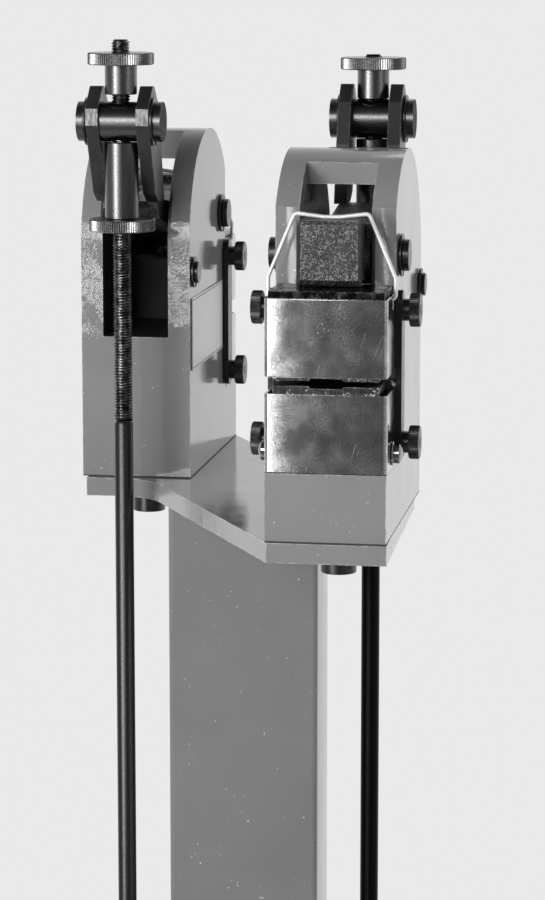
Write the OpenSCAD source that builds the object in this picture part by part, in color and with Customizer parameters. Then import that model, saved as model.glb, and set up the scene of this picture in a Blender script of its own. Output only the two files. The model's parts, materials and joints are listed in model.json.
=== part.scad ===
// Foot-operated shrinker and stretcher. Two heads stand back to back on one post.
// Millimetres. The floor is z = 0 and the post's axis is the z axis.
// The stretcher head looks toward -y, the shrinker head is the same turned half a turn.

/* [Stand] */
// side of the square base plate
base_side = 480; // [400:10:600]
// thickness of the base plate
base_thick = 10; // [6:1:16]
// corner radius of the base plate
base_radius = 24; // [5:1:60]
// from the base plate's edge to the middle of an anchor hole
anchor_margin = 30; // [25:1:60]
// diameter of an anchor hole
anchor_hole = 13; // [8:0.5:18]
// width of the post tube
post_width = 81.5; // [60:0.5:90]
// depth of the post tube
post_depth = 44; // [36:1:60]
// wall of the post tube
post_wall = 4; // [2:0.5:8]
// outer corner radius of the post tube
post_radius = 3; // [2:0.5:8]
// height of the top plate's upper face
table_height = 820; // [700:5:950]
// thickness of the top plate
plate_thick = 10; // [8:0.5:16]
// how far a gusset reaches along the base and up the post
gusset_size = 64; // [40:2:90]

/* [Head castings] */
// sideways distance from the post's axis to a head's middle
head_offset = 64; // [60:0.5:75]
// distance from the post's middle plane to a head's rear face
head_gap = 10; // [6:0.5:20]
// width of a casting
body_width = 60; // [56:0.5:70]
// depth of a casting
body_depth = 150; // [140:1:165]
// height of the foot
foot_height = 34.5; // [30:0.5:40]
// front face of the column, behind the foot's front face
column_front = 36; // [33:0.5:42]
// radius of the arched top
arch_radius = 63; // [58:0.5:66]
// height of the arch's centre
arch_height = 124.5; // [118:0.5:130]
// width of the lever slot
slot_width = 36; // [35:0.5:40]
// height of the slot's floor at the rear
slot_floor = 77.5; // [65:0.5:95]
// height of the slot's floor at the front
sill_height = 112; // [100:0.5:116]
// where the bridge over the slot begins
bridge_front = 61; // [56:0.5:68]
// depth of the bridge
bridge_depth = 37; // [24:0.5:44]
// underside of the bridge
bridge_height = 171; // [168:0.5:176]

/* [Jaws] */
// height of the lower teeth
grip_height = 77.6; // [76:0.1:79]
// open height between the teeth
mouth = 2.3; // [2:0.1:4]
// length of one jaw
jaw_length = 26; // [22:0.1:26.4]
// thickness of a jaw at its thin end
jaw_thin = 8; // [6:0.5:11]
// rise of the wedge seat for each millimetre sideways
jaw_slope = 0.5; // [0.4:0.05:0.6]
// sideways travel of a jaw
jaw_shift = 2; // [1:0.1:2.2]
// gap between two jaws that are together
jaw_gap = 0.3; // [0.2:0.05:0.6]
// half width of the relief beside the middle
notch_half = 8; // [5:0.5:10]
// depth of the relief
notch_depth = 1.3; // [0.5:0.1:2.5]
// teeth on one jaw
tooth_count = 14; // [8:1:18]
// depth of a tooth
tooth_depth = 0.5; // [0.3:0.05:0.8]
// top of the sliding carrier
carrier_top = 123.7; // [122:0.1:126]

/* [Covers and straps] */
// outer half width of a cover
cover_half = 30.3; // [30.2:0.1:31]
// sheet thickness of a cover
cover_sheet = 1.2; // [0.8:0.1:1.4]
// lower edge of the lower cover
cover_base = 35; // [34.8:0.1:36.5]
// height of a cover
cover_height = 38.6; // [36:0.1:39]
// space between the two covers
cover_space = 8.2; // [6.5:0.1:10]
// thickness of a keeper strap
strap_thick = 3.1; // [2:0.1:4]
// width of a keeper strap
strap_width = 13; // [12:0.5:16]
// diameter of a thumb screw's knurled head
knob_diameter = 16.7; // [14:0.1:20]
// thickness of that head
knob_thick = 5.3; // [4:0.1:7]
// diameter of the return bail's wire
wire_diameter = 2; // [1.5:0.1:2.2]

/* [Lever] */
// lever pivot behind the foot's front face
pivot_depth = 52; // [50:0.5:55]
// height of the lever pivot
pivot_height = 137; // [135:0.5:139]
// diameter of the lever pivot pin
pivot_diameter = 16; // [12:0.5:18]
// from a head's rear face back to its trunnion
trunnion_reach = 33.8; // [32:0.1:36]
// height of the trunnion at rest
trunnion_height = 196.5; // [194:0.5:199]
// diameter of the trunnion
trunnion_diameter = 21; // [19:0.1:22]
// thickness of a lever side plate
lever_thick = 7; // [5:0.5:7.5]
// gap between the lever side plates
lever_gap = 20; // [19.6:0.2:21]
// width of the nose block
nose_width = 28.2; // [24:0.1:32]
// front face of the nose block
nose_front = 11; // [9:0.5:13]
// top of the nose block
nose_top = 157; // [156:0.5:160]

/* [Rods and nuts] */
// diameter of a pull rod
rod_diameter = 10; // [9:0.1:12]
// top of the stretcher's rod above the top plate
rod_top_a = 230.7; // [230:0.1:250]
// top of the shrinker's rod above the top plate
rod_top_b = 239.5; // [238:0.5:260]
// diameter of an adjusting nut's knurled disc
nut_diameter = 35; // [30:0.5:40]
// thickness of that disc
nut_thick = 6.3; // [5:0.1:8]
// diameter of an upper nut's sleeve
sleeve_diameter = 17; // [15:0.5:19]
// length of an upper nut's sleeve
sleeve_length = 15.6; // [12:0.1:20]
// slack between the shrinker's upper nut and its trunnion
nut_slack = 3.6; // [0.2:0.1:6]
// length of a lower nut's sleeve
lower_length = 40.6; // [30:0.1:42]

/* [Pedals] */
// height of a pedal's pivot above the floor
pedal_height = 130; // [120:1:150]
// from the pedal's pivot to the rod's pin
rear_arm = 44.6; // [44:0.1:45.2]
// from the pedal's pivot to the middle of the pad
front_arm = 260; // [220:5:300]
// rise of the front arm at rest, in degrees
pedal_rise = 11; // [8:0.5:14]
// thickness of a pedal bar
bar_thick = 10; // [8:0.5:10]
// width of a foot pad
pad_width = 96; // [70:1:104]
// length of a foot pad
pad_length = 74; // [60:1:90]
// diameter of the pedal's shaft
shaft_diameter = 14; // [12:0.5:16]
// mean radius of the return spring's coil
spring_radius = 7.1; // [6.5:0.1:8]
// wire of the return spring
spring_wire = 1.8; // [1.4:0.1:2]
// turns of the return spring
spring_turns = 24; // [16:1:25]

/* [Hidden] */
$fn = 64;
fit = 0.05;
slide_gap = 0.1;
part_gap = 0.02;
plate_z = table_height;
post_top = table_height - plate_thick;
seat_gap = 0.6;
seat_half = cover_half - cover_sheet - seat_gap;
arch_centre = body_depth - arch_radius;
trunnion_depth = body_depth + trunnion_reach;
mid_z = grip_height + mouth / 2;
upper_cover_base = cover_base + cover_height + cover_space;
upper_cover_top = upper_cover_base + cover_height;
jaw_front = cover_sheet + 0.8;
jaw_rear = column_front - 1.5;
strap_v = column_front + 3.5;
strap_low = 36.5;
strap_high = 121;
knob_low = 45.1;
knob_high = 111.2;
knob_neck = 3.4;
screw_v = 20;
screw_z = 42.4;
screw_hole = 4;
stub_depth = body_depth - 9.5;
stub_height = 112.6;
stub_diameter = 12;
pin_half = body_width / 2 + 5.1;
wire_v = 22;
wire_side = cover_half + wire_diameter / 2 + 0.2;
wire_pin = 118.4;
carrier_drop = 3.6;
lever_outer = lever_gap / 2 + lever_thick;
hub_radius = 15;
hub_half = 17;
arm_top = pivot_height + 13;
arm_ledge = pivot_height + 16;
arm_rear = trunnion_depth - 18.8;
cam_radius = 9.2;
cam_v = 24;
cam_z = carrier_top + 0.2 + cam_radius;
trunnion_half = 22.5;
nut_rest_a = trunnion_height + trunnion_diameter / 2 + 0.2;
nut_rest_b = nut_rest_a + nut_slack;
lower_top = trunnion_height - trunnion_diameter / 2 - 0.2;
bolt_v = [52, body_depth - 35];
bolt_diameter = 12;
bolt_head = 18;
bolt_head_length = 12;
bolt_grip = 22;
washer_diameter = 24;
washer_thick = 2.5;
gusset_thick = 8;
gusset_lip = 10;
post_inner = 1;
bracket_front = 24;
bracket_rear = 22;
bracket_half = 26;
anchor_thick = 6;
anchor_radius = 9;
label_length = 96;
label_height = 39.5;
label_thick = 0.8;
label_front = 14;
label_base = 59;
pedal_v = trunnion_depth - rear_arm;
pedal_z = pedal_height - table_height;
pin_z = pedal_z;
pin_diameter = 8;
fork_depth = 20;
fork_low = 12;
fork_high = 30;
fork_slot = 14;
fork_neck = 18;
fork_neck_length = 14;
rod_start = 16;
pin_head = 5;
pin_end = 3;
boss_radius = 17;
boss_lip = 2.5;
shaft_head = 10;
eye_radius = 12;
tail_radius = 8;
tail_depth = 16;
arm_depth = 26;
pad_thick = 6;
pad_rib = 4;
pad_rib_height = 2;
pad_rib_pitch = 10;
pad_edge = 6;
eye_play = 1;
tail_hole = 9;
anchor_eye = 7;
anchor_rise = 22;
fork_half = bar_thick / 2 + 8;
tail_arm = rear_arm + 24;
plate_out = head_offset + body_width / 2 + 0.5;
plate_back = plate_out - 3.5;
plate_in = head_offset - body_width / 2 + 1;
plate_end = head_gap + body_depth + 1.5;
plate_rear = head_gap - 5;
plate_neck = 55.5;
plate_fillet_radius = 30;
bracket_thick = head_offset - post_width / 2 - bar_thick / 2 - 3;

// Head space: x across the head, y rearward from the foot's front face, z above the top plate.
module at_head(s) {
  translate([0, 0, plate_z])
    rotate([0, 0, 180 * s])
      translate([head_offset, -(head_gap + body_depth), 0])
        children();
}

// A side profile in (depth, height), given the thickness and centred across the head.
module across(w) {
  rotate([90, 0, 90])
    translate([0, 0, -w / 2])
      linear_extrude(w)
        children();
}

// A cylinder across the head.
module axle(d, x0, x1, v, z) {
  translate([x0, v, z])
    rotate([0, 90, 0])
      cylinder(d = d, h = x1 - x0);
}

module box(x0, x1, y0, y1, z0, z1) {
  translate([x0, y0, z0])
    cube([x1 - x0, y1 - y0, z1 - z0]);
}

module rounded_rect(w, d, r) {
  square([w - 2 * r, d], center = true);
  square([w, d - 2 * r], center = true);
  for (x = [-1, 1], y = [-1, 1])
    translate([x * (w / 2 - r), y * (d / 2 - r)])
      circle(r);
}

// Stand

module base_plate() {
  color("DimGray")
    difference() {
      linear_extrude(base_thick)
        rounded_rect(base_side, base_side, base_radius);
      for (x = [-1, 1], y = [-1, 1])
        translate([x * (base_side / 2 - anchor_margin), y * (base_side / 2 - anchor_margin), -1])
          cylinder(d = anchor_hole, h = base_thick + 2);
    }
}

module post() {
  color("Gray")
    translate([0, 0, base_thick])
      linear_extrude(post_top - base_thick)
        difference() {
          rounded_rect(post_width, post_depth, post_radius);
          rounded_rect(post_width - 2 * post_wall, post_depth - 2 * post_wall, post_inner);
        }
}

module gusset(reach) {
  rotate([90, 0, 0])
    translate([0, 0, -gusset_thick / 2])
      linear_extrude(gusset_thick)
        polygon([[reach, base_thick], [reach + gusset_size, base_thick],
          [reach + gusset_size, base_thick + gusset_lip], [reach + gusset_lip, base_thick + gusset_size],
          [reach, base_thick + gusset_size]]);
}

module base_gussets() {
  color("Gray")
    for (s = [0, 1]) {
      rotate([0, 0, 180 * s])
        gusset(post_width / 2);
      rotate([0, 0, 90 + 180 * s])
        gusset(post_depth / 2);
    }
}

// Plan of the top plate. Its outer edges draw in a little toward the rear of each head.
module plate_plan() {
  polygon([[-plate_back, plate_rear], [-plate_neck, plate_rear], [plate_in, -plate_end],
    [plate_out, -plate_end], [plate_back, -plate_rear], [plate_neck, -plate_rear],
    [-plate_in, plate_end], [-plate_out, plate_end]]);
}

// Fills the inner corner between the straight rear edge and the slanting edge with a round.
module plate_fillet() {
  corner = [-plate_neck, plate_rear];
  slant = [plate_in, -plate_end] - corner;
  way_down = slant / norm(slant);
  half_turn = acos(way_down[0]) / 2;
  reach = plate_fillet_radius * tan(half_turn);
  centre = [corner[0] - reach, plate_rear - plate_fillet_radius];
  difference() {
    polygon([corner, corner - [reach, 0], centre, corner + way_down * reach]);
    translate(centre)
      circle(plate_fillet_radius, $fn = 128);
  }
}

module top_plate() {
  color("Gray")
    translate([0, 0, post_top])
      difference() {
        linear_extrude(plate_thick)
          union() {
            plate_plan();
            for (s = [0, 1])
              rotate(180 * s)
                plate_fillet();
          }
        for (s = [0, 1], v = bolt_v)
          rotate([0, 0, 180 * s])
            translate([head_offset, v - head_gap - body_depth, -1])
              cylinder(d = bolt_diameter + 1, h = plate_thick + 2);
      }
}

module pedal_brackets() {
  color("Gray")
    for (s = [0, 1])
      at_head(s)
        difference() {
          box(post_width / 2 - head_offset, post_width / 2 - head_offset + bracket_thick,
            pedal_v - bracket_front, pedal_v + bracket_rear, pedal_z - bracket_half, pedal_z + bracket_half);
          axle(shaft_diameter + 2 * fit, post_width / 2 - head_offset - 1,
            post_width / 2 - head_offset + bracket_thick + 1, pedal_v, pedal_z);
        }
}

module pedal_shafts() {
  color("Silver")
    for (s = [0, 1])
      at_head(s) {
        axle(shaft_diameter, post_width / 2 - head_offset, bar_thick / 2 + boss_lip + 0.2, pedal_v, pedal_z);
        axle(shaft_diameter + shaft_head, bar_thick / 2 + boss_lip + 0.2, bar_thick / 2 + boss_lip + 5.5,
          pedal_v, pedal_z);
      }
}

module spring_anchors() {
  color("Gray")
    for (s = [0, 1])
      at_head(s)
        difference() {
          across(anchor_thick)
            union() {
              translate([pedal_v + tail_arm - anchor_radius, base_thick - plate_z])
                square([2 * anchor_radius, anchor_rise]);
              translate([pedal_v + tail_arm, base_thick - plate_z + anchor_rise])
                circle(anchor_radius);
            }
          axle(anchor_eye, -5, 5, pedal_v + tail_arm, base_thick - plate_z + anchor_rise);
        }
}

// Fasteners that hold each head together

module head_bolts() {
  color("Black")
    for (s = [0, 1], v = bolt_v)
      at_head(s)
        translate([0, v, 0]) {
          translate([0, 0, -plate_thick - washer_thick - bolt_head_length])
            difference() {
              cylinder(d = bolt_head, h = bolt_head_length);
              translate([0, 0, -1])
                cylinder(d = (bolt_diameter - 2) / cos(30), h = bolt_head_length / 2 + 1, $fn = 6);
            }
          translate([0, 0, -plate_thick - washer_thick])
            cylinder(d = bolt_diameter, h = plate_thick + washer_thick + bolt_grip);
          translate([0, 0, -plate_thick - washer_thick + part_gap])
            difference() {
              cylinder(d = washer_diameter, h = washer_thick - part_gap);
              translate([0, 0, -1])
                cylinder(d = bolt_diameter + 2 * fit, h = washer_thick + 2);
            }
        }
}

module keeper_straps() {
  color("Silver")
    for (s = [0, 1], m = [0, 1])
      at_head(s)
        mirror([m, 0, 0])
          difference() {
            translate([cover_half + fit + strap_thick / 2, 0, 0])
              across(strap_thick)
                union() {
                  translate([strap_v - strap_width / 2, strap_low + strap_width / 2])
                    square([strap_width, strap_high - strap_low - strap_width]);
                  translate([strap_v, strap_low + strap_width / 2])
                    circle(d = strap_width);
                  translate([strap_v, strap_high - strap_width / 2])
                    circle(d = strap_width);
                }
            for (z = [knob_low, knob_high])
              axle(6.3, cover_half - 1, cover_half + strap_thick + 1, strap_v, z);
          }
}

knob_seat = cover_half + fit + strap_thick;

module thumb_screws() {
  color("Black")
    for (s = [0, 1], m = [0, 1], z = [knob_low, knob_high])
      at_head(s)
        mirror([m, 0, 0]) {
          axle(6, body_width / 2 - 10, knob_seat, strap_v, z);
          axle(11, knob_seat, knob_seat + knob_neck, strap_v, z);
          axle(knob_diameter, knob_seat + knob_neck, knob_seat + knob_neck + knob_thick, strap_v, z);
        }
}

module cover_screws() {
  color("Silver")
    for (s = [0, 1], m = [0, 1])
      at_head(s)
        mirror([m, 0, 0]) {
          axle(screw_hole, seat_half - 8, cover_half + 1.1, screw_v, screw_z);
          difference() {
            translate([cover_half + 1.1, screw_v, screw_z])
              rotate([0, 90, 0])
                rotate_extrude()
                  intersection() {
                    translate([0, -2.4])
                      circle(7.2);
                    square([4.9, 9]);
                  }
            axle(2.9, cover_half + 4, cover_half + 9, screw_v, screw_z, $fn = 6);
          }
          difference() {
            axle(12, cover_half + fit, cover_half + 1.1 - part_gap, screw_v, screw_z);
            axle(screw_hole + 2 * fit, cover_half - 1, cover_half + 2, screw_v, screw_z);
          }
        }
}

module pivot_pins() {
  color("DimGray")
    for (s = [0, 1])
      at_head(s)
        difference() {
          axle(pivot_diameter, -pin_half, pin_half, pivot_depth, pivot_height);
          for (m = [0, 1])
            mirror([m, 0, 0])
              pin_groove(pivot_diameter, pivot_depth, pivot_height);
        }
}

// A stub pin in the cheek on the +x side of each head; the other cheek is plain.
module stub_pins() {
  color("DimGray")
    for (s = [0, 1])
      at_head(s)
        mirror([s, 0, 0])
          difference() {
            axle(stub_diameter, slot_width / 2, pin_half - 1.4, stub_depth, stub_height);
            pin_groove(stub_diameter, stub_depth, stub_height);
          }
}

module pin_groove(d, v, z) {
  difference() {
    axle(d + 2, body_width / 2 + 0.4, body_width / 2 + 1.8, v, z);
    axle(d - 1.6, body_width / 2, body_width / 2 + 2, v, z);
  }
}

module pin_clip(d, outer, v, z) {
  difference() {
    axle(outer, body_width / 2 + 0.5, body_width / 2 + 1.7, v, z);
    axle(d - 1.5, body_width / 2, body_width / 2 + 2, v, z);
    box(0, 50, v - 1.5, v + 1.5, z - outer, z);
  }
}

module pin_clips() {
  color("DimGray")
    for (s = [0, 1], m = [0, 1])
      at_head(s)
        mirror([m, 0, 0]) {
          pin_clip(pivot_diameter, pivot_diameter + 5.5, pivot_depth, pivot_height);
          if (m == s)
            pin_clip(stub_diameter, stub_diameter + 5, stub_depth, stub_height);
        }
}

module name_plates() {
  color("Gainsboro")
    for (s = [0, 1])
      at_head(s)
        translate([-body_width / 2 - label_thick, column_front + label_front, label_base])
          cube([label_thick, label_length, label_height]);
}

// Head castings and the lower die

module body_side() {
  square([body_depth, foot_height]);
  translate([column_front, 0])
    square([body_depth - column_front, arch_height]);
  intersection() {
    translate([arch_centre, arch_height])
      circle(arch_radius, $fn = 128);
    translate([column_front, 0])
      square([body_depth - column_front, 400]);
  }
}

module body_slot() {
  difference() {
    polygon([[-1, sill_height], [pivot_depth + 16, sill_height], [pivot_depth + 16, slot_floor],
      [body_depth + 1, slot_floor], [body_depth + 1, 300], [-1, 300]]);
    translate([bridge_front, bridge_height])
      square([bridge_depth, 200]);
  }
}

module head_body(s) {
  color("Gray")
    at_head(s)
      difference() {
        across(body_width)
          body_side();
        across(slot_width)
          body_slot();
        box(-8, 8, column_front - 1, column_front + 6, foot_height + 1, sill_height + 1);
        axle(pivot_diameter + 2 * fit, -50, 50, pivot_depth, pivot_height);
        mirror([s, 0, 0])
          axle(stub_diameter + 2 * fit, 0, 50, stub_depth, stub_height);
        for (m = [0, 1], z = [knob_low, knob_high])
          mirror([m, 0, 0])
            axle(6 + 2 * fit, body_width / 2 - 11, body_width / 2 + 1, strap_v, z);
        for (v = bolt_v)
          translate([0, v, -1])
            cylinder(d = bolt_diameter + 2 * fit, h = bolt_grip + 2);
      }
}

// Which way a head's jaws run: the stretcher's part, the shrinker's close.
function jaw_inner(s) = s == 0 ? jaw_gap / 2 : jaw_gap / 2 + jaw_shift;
function jaw_thick(s) = s == 0 ? jaw_thin : jaw_thin + jaw_slope * jaw_length;
function seat_sign(s) = s == 0 ? -1 : 1;
function seat_mid(s) = grip_height - jaw_thick(s) - seat_sign(s) * jaw_slope * jaw_inner(s) - slide_gap;
function seat_edge(s) = seat_mid(s) + seat_sign(s) * jaw_slope * seat_half;

module seat_block(s) {
  rotate([90, 0, 0])
    translate([0, 0, -jaw_rear - 1.2])
      linear_extrude(jaw_rear + 1.2 - cover_sheet - seat_gap)
        polygon([[-seat_half, foot_height], [seat_half, foot_height], [seat_half, seat_edge(s)],
          [0, seat_mid(s)], [-seat_half, seat_edge(s)]]);
}

module head_block(s) {
  color("DarkGray")
    at_head(s)
      difference() {
        seat_block(s);
        for (m = [0, 1])
          mirror([m, 0, 0])
            axle(screw_hole + 2 * fit, seat_half - 9, seat_half + 1, screw_v, screw_z);
      }
}

module jaw_shape(s) {
  x0 = jaw_inner(s);
  x1 = x0 + jaw_length;
  t0 = jaw_thick(s);
  t1 = t0 - seat_sign(s) * jaw_slope * jaw_length;
  xt = x0 + notch_half;
  p = (x1 - xt) / tooth_count;
  teeth = [for (i = [0:tooth_count - 1], k = [0, 1])
    [xt + p * (i + 0.5 * k), grip_height - (k == 0 ? tooth_depth : 0)]];
  polygon(concat([[x0, grip_height - t0], [x0, grip_height - notch_depth],
    [xt, grip_height - notch_depth]], teeth, [[x1, grip_height - tooth_depth], [x1, grip_height - t1]]));
}

module jaw_low(s, m) {
  color("Silver")
    at_head(s)
      mirror([m, 0, 0])
        rotate([90, 0, 0])
          translate([0, 0, -jaw_rear])
            linear_extrude(jaw_rear - jaw_front)
              jaw_shape(s);
}

module flip_up() {
  translate([0, 0, 2 * mid_z])
    mirror([0, 0, 1])
      children();
}

module jaw_up(s, m) {
  color("Silver")
    at_head(s)
      flip_up()
        mirror([m, 0, 0])
          rotate([90, 0, 0])
            translate([0, 0, -jaw_rear])
              linear_extrude(jaw_rear - jaw_front)
                jaw_shape(s);
}

module cover_plan() {
  difference() {
    union() {
      translate([-cover_half, 2.5])
        square([2 * cover_half, column_front - 0.4 - 2.5]);
      translate([-cover_half + 2.5, 0])
        square([2 * cover_half - 5, 3]);
      for (x = [-1, 1])
        translate([x * (cover_half - 2.5), 2.5])
          circle(2.5);
    }
    union() {
      translate([-cover_half + cover_sheet, 2.5])
        square([2 * (cover_half - cover_sheet), column_front]);
      translate([-cover_half + 2.5, cover_sheet])
        square([2 * cover_half - 5, 3]);
      for (x = [-1, 1])
        translate([x * (cover_half - 2.5), 2.5])
          circle(2.5 - cover_sheet);
    }
  }
}

module cover_lower(s) {
  color("LightGray")
    at_head(s)
      difference() {
        translate([0, 0, cover_base])
          linear_extrude(cover_height)
            cover_plan();
        axle(screw_hole + 0.4, -50, 50, screw_v, screw_z);
      }
}

module cover_upper(s) {
  color("LightGray")
    at_head(s)
      difference() {
        translate([0, 0, upper_cover_base])
          linear_extrude(cover_height)
            cover_plan();
        box(-50, 50, wire_v - wire_diameter / 2 - 0.5, wire_v + wire_diameter / 2 + 0.5,
          wire_pin - carrier_drop - wire_diameter / 2 - 0.6, upper_cover_top + 1);
      }
}

// The sliding carrier and its bail

module carrier(s) {
  color("DarkGray")
    at_head(s)
      difference() {
        union() {
          rotate([90, 0, 0])
            translate([0, 0, -jaw_rear - 1.2])
              linear_extrude(jaw_rear + 1.2 - cover_sheet - seat_gap)
                polygon([[-seat_half, carrier_top], [seat_half, carrier_top],
                  [seat_half, 2 * mid_z - seat_edge(s)], [0, 2 * mid_z - seat_mid(s)],
                  [-seat_half, 2 * mid_z - seat_edge(s)]]);
          box(-7.8, 7.8, jaw_rear, column_front + 5.7, sill_height - 8, sill_height + 3);
        }
        for (m = [0, 1])
          mirror([m, 0, 0])
            axle(wire_diameter + 0.1, seat_half - 6.2, seat_half + 1, wire_v, wire_pin);
      }
}

// The bail's wire as corners in (x, z); its ends turn inward into the carrier.
bail_rest = nose_top + wire_diameter / 2 + 0.1;
bail_half = [[4, bail_rest], [18.2, bail_rest + 1.8], [wire_side, 128.5], [wire_side, wire_pin],
  [seat_half - 6, wire_pin]];
bail_path = concat([for (i = [4:-1:0]) [-bail_half[i][0], bail_half[i][1]]], bail_half);
bail_bend = 2.2;
bail_steps = 5;
bail_sides = 12;

function way(p, i) = (p[i + 1] - p[i]) / norm(p[i + 1] - p[i]);
function turn(p, i) = asin(cross(way(p, i - 1), way(p, i)));
function rot2(v, a) = [v[0] * cos(a) - v[1] * sin(a), v[0] * sin(a) + v[1] * cos(a)];

// Each place on the wire's middle line is [point, direction]; every corner becomes a round bend.
function bend_places(p, i) =
  let (t = turn(p, i), d = way(p, i - 1), side = sign(t), n = [-d[1], d[0]] * side,
    a = p[i] - d * bail_bend * tan(abs(t) / 2), c = a + n * bail_bend)
  [for (k = [0:bail_steps]) [c - rot2(n, t * k / bail_steps) * bail_bend, rot2(d, t * k / bail_steps)]];
function wire_places(p) = concat([[p[0], way(p, 0)]],
  [for (i = [1:len(p) - 2]) each bend_places(p, i)],
  [[p[len(p) - 1], way(p, len(p) - 2)]]);

module wire_tube(places) {
  n = len(places);
  m = bail_sides;
  points = [for (q = places, k = [0:m - 1])
    let (a = 360 * k / m, w = wire_diameter / 2)
    [q[0][0] - q[1][1] * w * cos(a), w * sin(a), q[0][1] + q[1][0] * w * cos(a)]];
  sides = [for (i = [0:n - 2], k = [0:m - 1])
    [i * m + k, i * m + (k + 1) % m, (i + 1) * m + (k + 1) % m, (i + 1) * m + k]];
  caps = [[for (k = [m - 1:-1:0]) k], [for (k = [0:m - 1]) (n - 1) * m + k]];
  polyhedron(points, concat(sides, caps));
}

module bail(s) {
  color("Silver")
    at_head(s)
      translate([0, wire_v, 0])
        wire_tube(wire_places(bail_path));
}

// Lever

// An upright plate: it stands on the arm's rear end and carries the trunnion.
module lever_side() {
  difference() {
    polygon([[arm_rear - 12, arm_ledge], [arm_rear + 3, arm_ledge],
      [trunnion_depth - 7.3, trunnion_height - 39], [trunnion_depth + 12.2, trunnion_height - 1.7],
      [trunnion_depth + 12.2, trunnion_height + 7.3], [trunnion_depth - 0.5, trunnion_height + 18.5],
      [trunnion_depth - 4.8, trunnion_height + 18.5], [trunnion_depth - 14.3, trunnion_height + 9.5],
      [trunnion_depth - 22.3, trunnion_height - 12.5]]);
    translate([trunnion_depth, trunnion_height])
      circle(d = trunnion_diameter + 2 * fit);
  }
}

module lever_plates(s) {
  color("DimGray")
    at_head(s)
      for (x = [-1, 1])
        translate([x * (lever_gap + lever_thick) / 2, 0, 0])
          across(lever_thick)
            lever_side();
}

// The casting's side profile: the nose block at the front and the arm behind it.
module nose_side() {
  polygon([[nose_front, cam_z - 4.9], [nose_front, nose_top - 2], [nose_front + 2, nose_top],
    [column_front - 1.5, nose_top], [column_front - 0.5, nose_top - 1],
    [column_front - 0.5, cam_z - 4.9]]);
  translate([cam_v, cam_z])
    circle(cam_radius);
  polygon([[column_front - 4, cam_z - 5], [pivot_depth, pivot_height - hub_radius],
    [arm_rear - 53, pivot_height - 3], [arm_rear - 13, pivot_height + 5],
    [arm_rear - 7, arm_ledge - 4], [arm_rear, arm_ledge - 4], [arm_rear, arm_ledge],
    [arm_rear - 15, arm_ledge], [arm_rear - 40, arm_top], [pivot_depth + 8, arm_top],
    [column_front - 4, nose_top - 4]]);
}

module nose(s) {
  color("DimGray")
    at_head(s)
      difference() {
        union() {
          across(nose_width)
            nose_side();
          axle(2 * hub_radius, -hub_half, hub_half, pivot_depth, pivot_height);
        }
        axle(pivot_diameter + 2 * fit, -50, 50, pivot_depth, pivot_height);
      }
}

// Rod, trunnion and nuts

module trunnion(s) {
  color("DimGray")
    at_head(s)
      difference() {
        axle(trunnion_diameter, -trunnion_half, trunnion_half, trunnion_depth, trunnion_height);
        for (m = [0, 1])
          mirror([m, 0, 0])
            difference() {
              axle(trunnion_diameter + 2, lever_outer + 0.2, lever_outer + 1.6,
                trunnion_depth, trunnion_height);
              axle(trunnion_diameter - 1.6, lever_outer, lever_outer + 2,
                trunnion_depth, trunnion_height);
            }
        translate([0, trunnion_depth, trunnion_height - 30])
          cylinder(d = rod_diameter + 2 * fit, h = 60);
      }
}

module trunnion_clips(s) {
  color("DimGray")
    at_head(s)
      for (m = [0, 1])
        mirror([m, 0, 0])
          difference() {
            axle(trunnion_diameter + 4.5, lever_outer + 0.3, lever_outer + 1.5,
              trunnion_depth, trunnion_height);
            axle(trunnion_diameter - 1.5, lever_outer, lever_outer + 2, trunnion_depth, trunnion_height);
            box(0, 50, trunnion_depth - 2, trunnion_depth + 2, trunnion_height - 20, trunnion_height);
          }
}

module rod(s) {
  top = s == 0 ? rod_top_a : rod_top_b;
  color("DimGray")
    at_head(s)
      translate([0, trunnion_depth, pin_z + rod_start])
        cylinder(d = rod_diameter, h = top - pin_z - rod_start);
}

module clevis(s) {
  color("DimGray")
    at_head(s)
      translate([0, trunnion_depth, pin_z])
        difference() {
          union() {
            box(-fork_half, fork_half, -fork_depth / 2, fork_depth / 2, -fork_low, fork_high);
            translate([0, 0, fork_high])
              cylinder(d = fork_neck, h = fork_neck_length);
          }
          box(-bar_thick / 2 - 0.3, bar_thick / 2 + 0.3, -fork_depth, fork_depth, -fork_low - 1, fork_slot);
          translate([0, 0, fork_slot - 4])
            cylinder(d = rod_diameter + 2 * fit, h = fork_high + fork_neck_length);
          translate([-50, 0, 0])
            rotate([0, 90, 0])
              cylinder(d = pin_diameter + 2 * fit, h = 100);
        }
}

module clevis_pin(s) {
  color("Silver")
    at_head(s) {
      axle(pin_diameter, -fork_half - pin_end, fork_half, trunnion_depth, pin_z);
      axle(pin_diameter + pin_head, fork_half, fork_half + pin_end, trunnion_depth, pin_z);
    }
}

module nut_upper(s) {
  color("DimGray")
    at_head(s)
      translate([0, trunnion_depth, s == 0 ? nut_rest_a : nut_rest_b])
        difference() {
          union() {
            cylinder(d = sleeve_diameter, h = sleeve_length + 1);
            translate([0, 0, sleeve_length])
              cylinder(d = nut_diameter, h = nut_thick, $fn = 96);
          }
          translate([0, 0, -1])
            cylinder(d = rod_diameter + 2 * fit, h = 60);
        }
}

module nut_lower(s) {
  color("DimGray")
    at_head(s)
      translate([0, trunnion_depth, lower_top - lower_length - nut_thick])
        difference() {
          union() {
            cylinder(d = nut_diameter, h = nut_thick, $fn = 96);
            cylinder(d = sleeve_diameter + 1, h = nut_thick + lower_length);
          }
          translate([0, 0, -1])
            cylinder(d = rod_diameter + 2 * fit, h = 60);
        }
}

// Pedal

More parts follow.
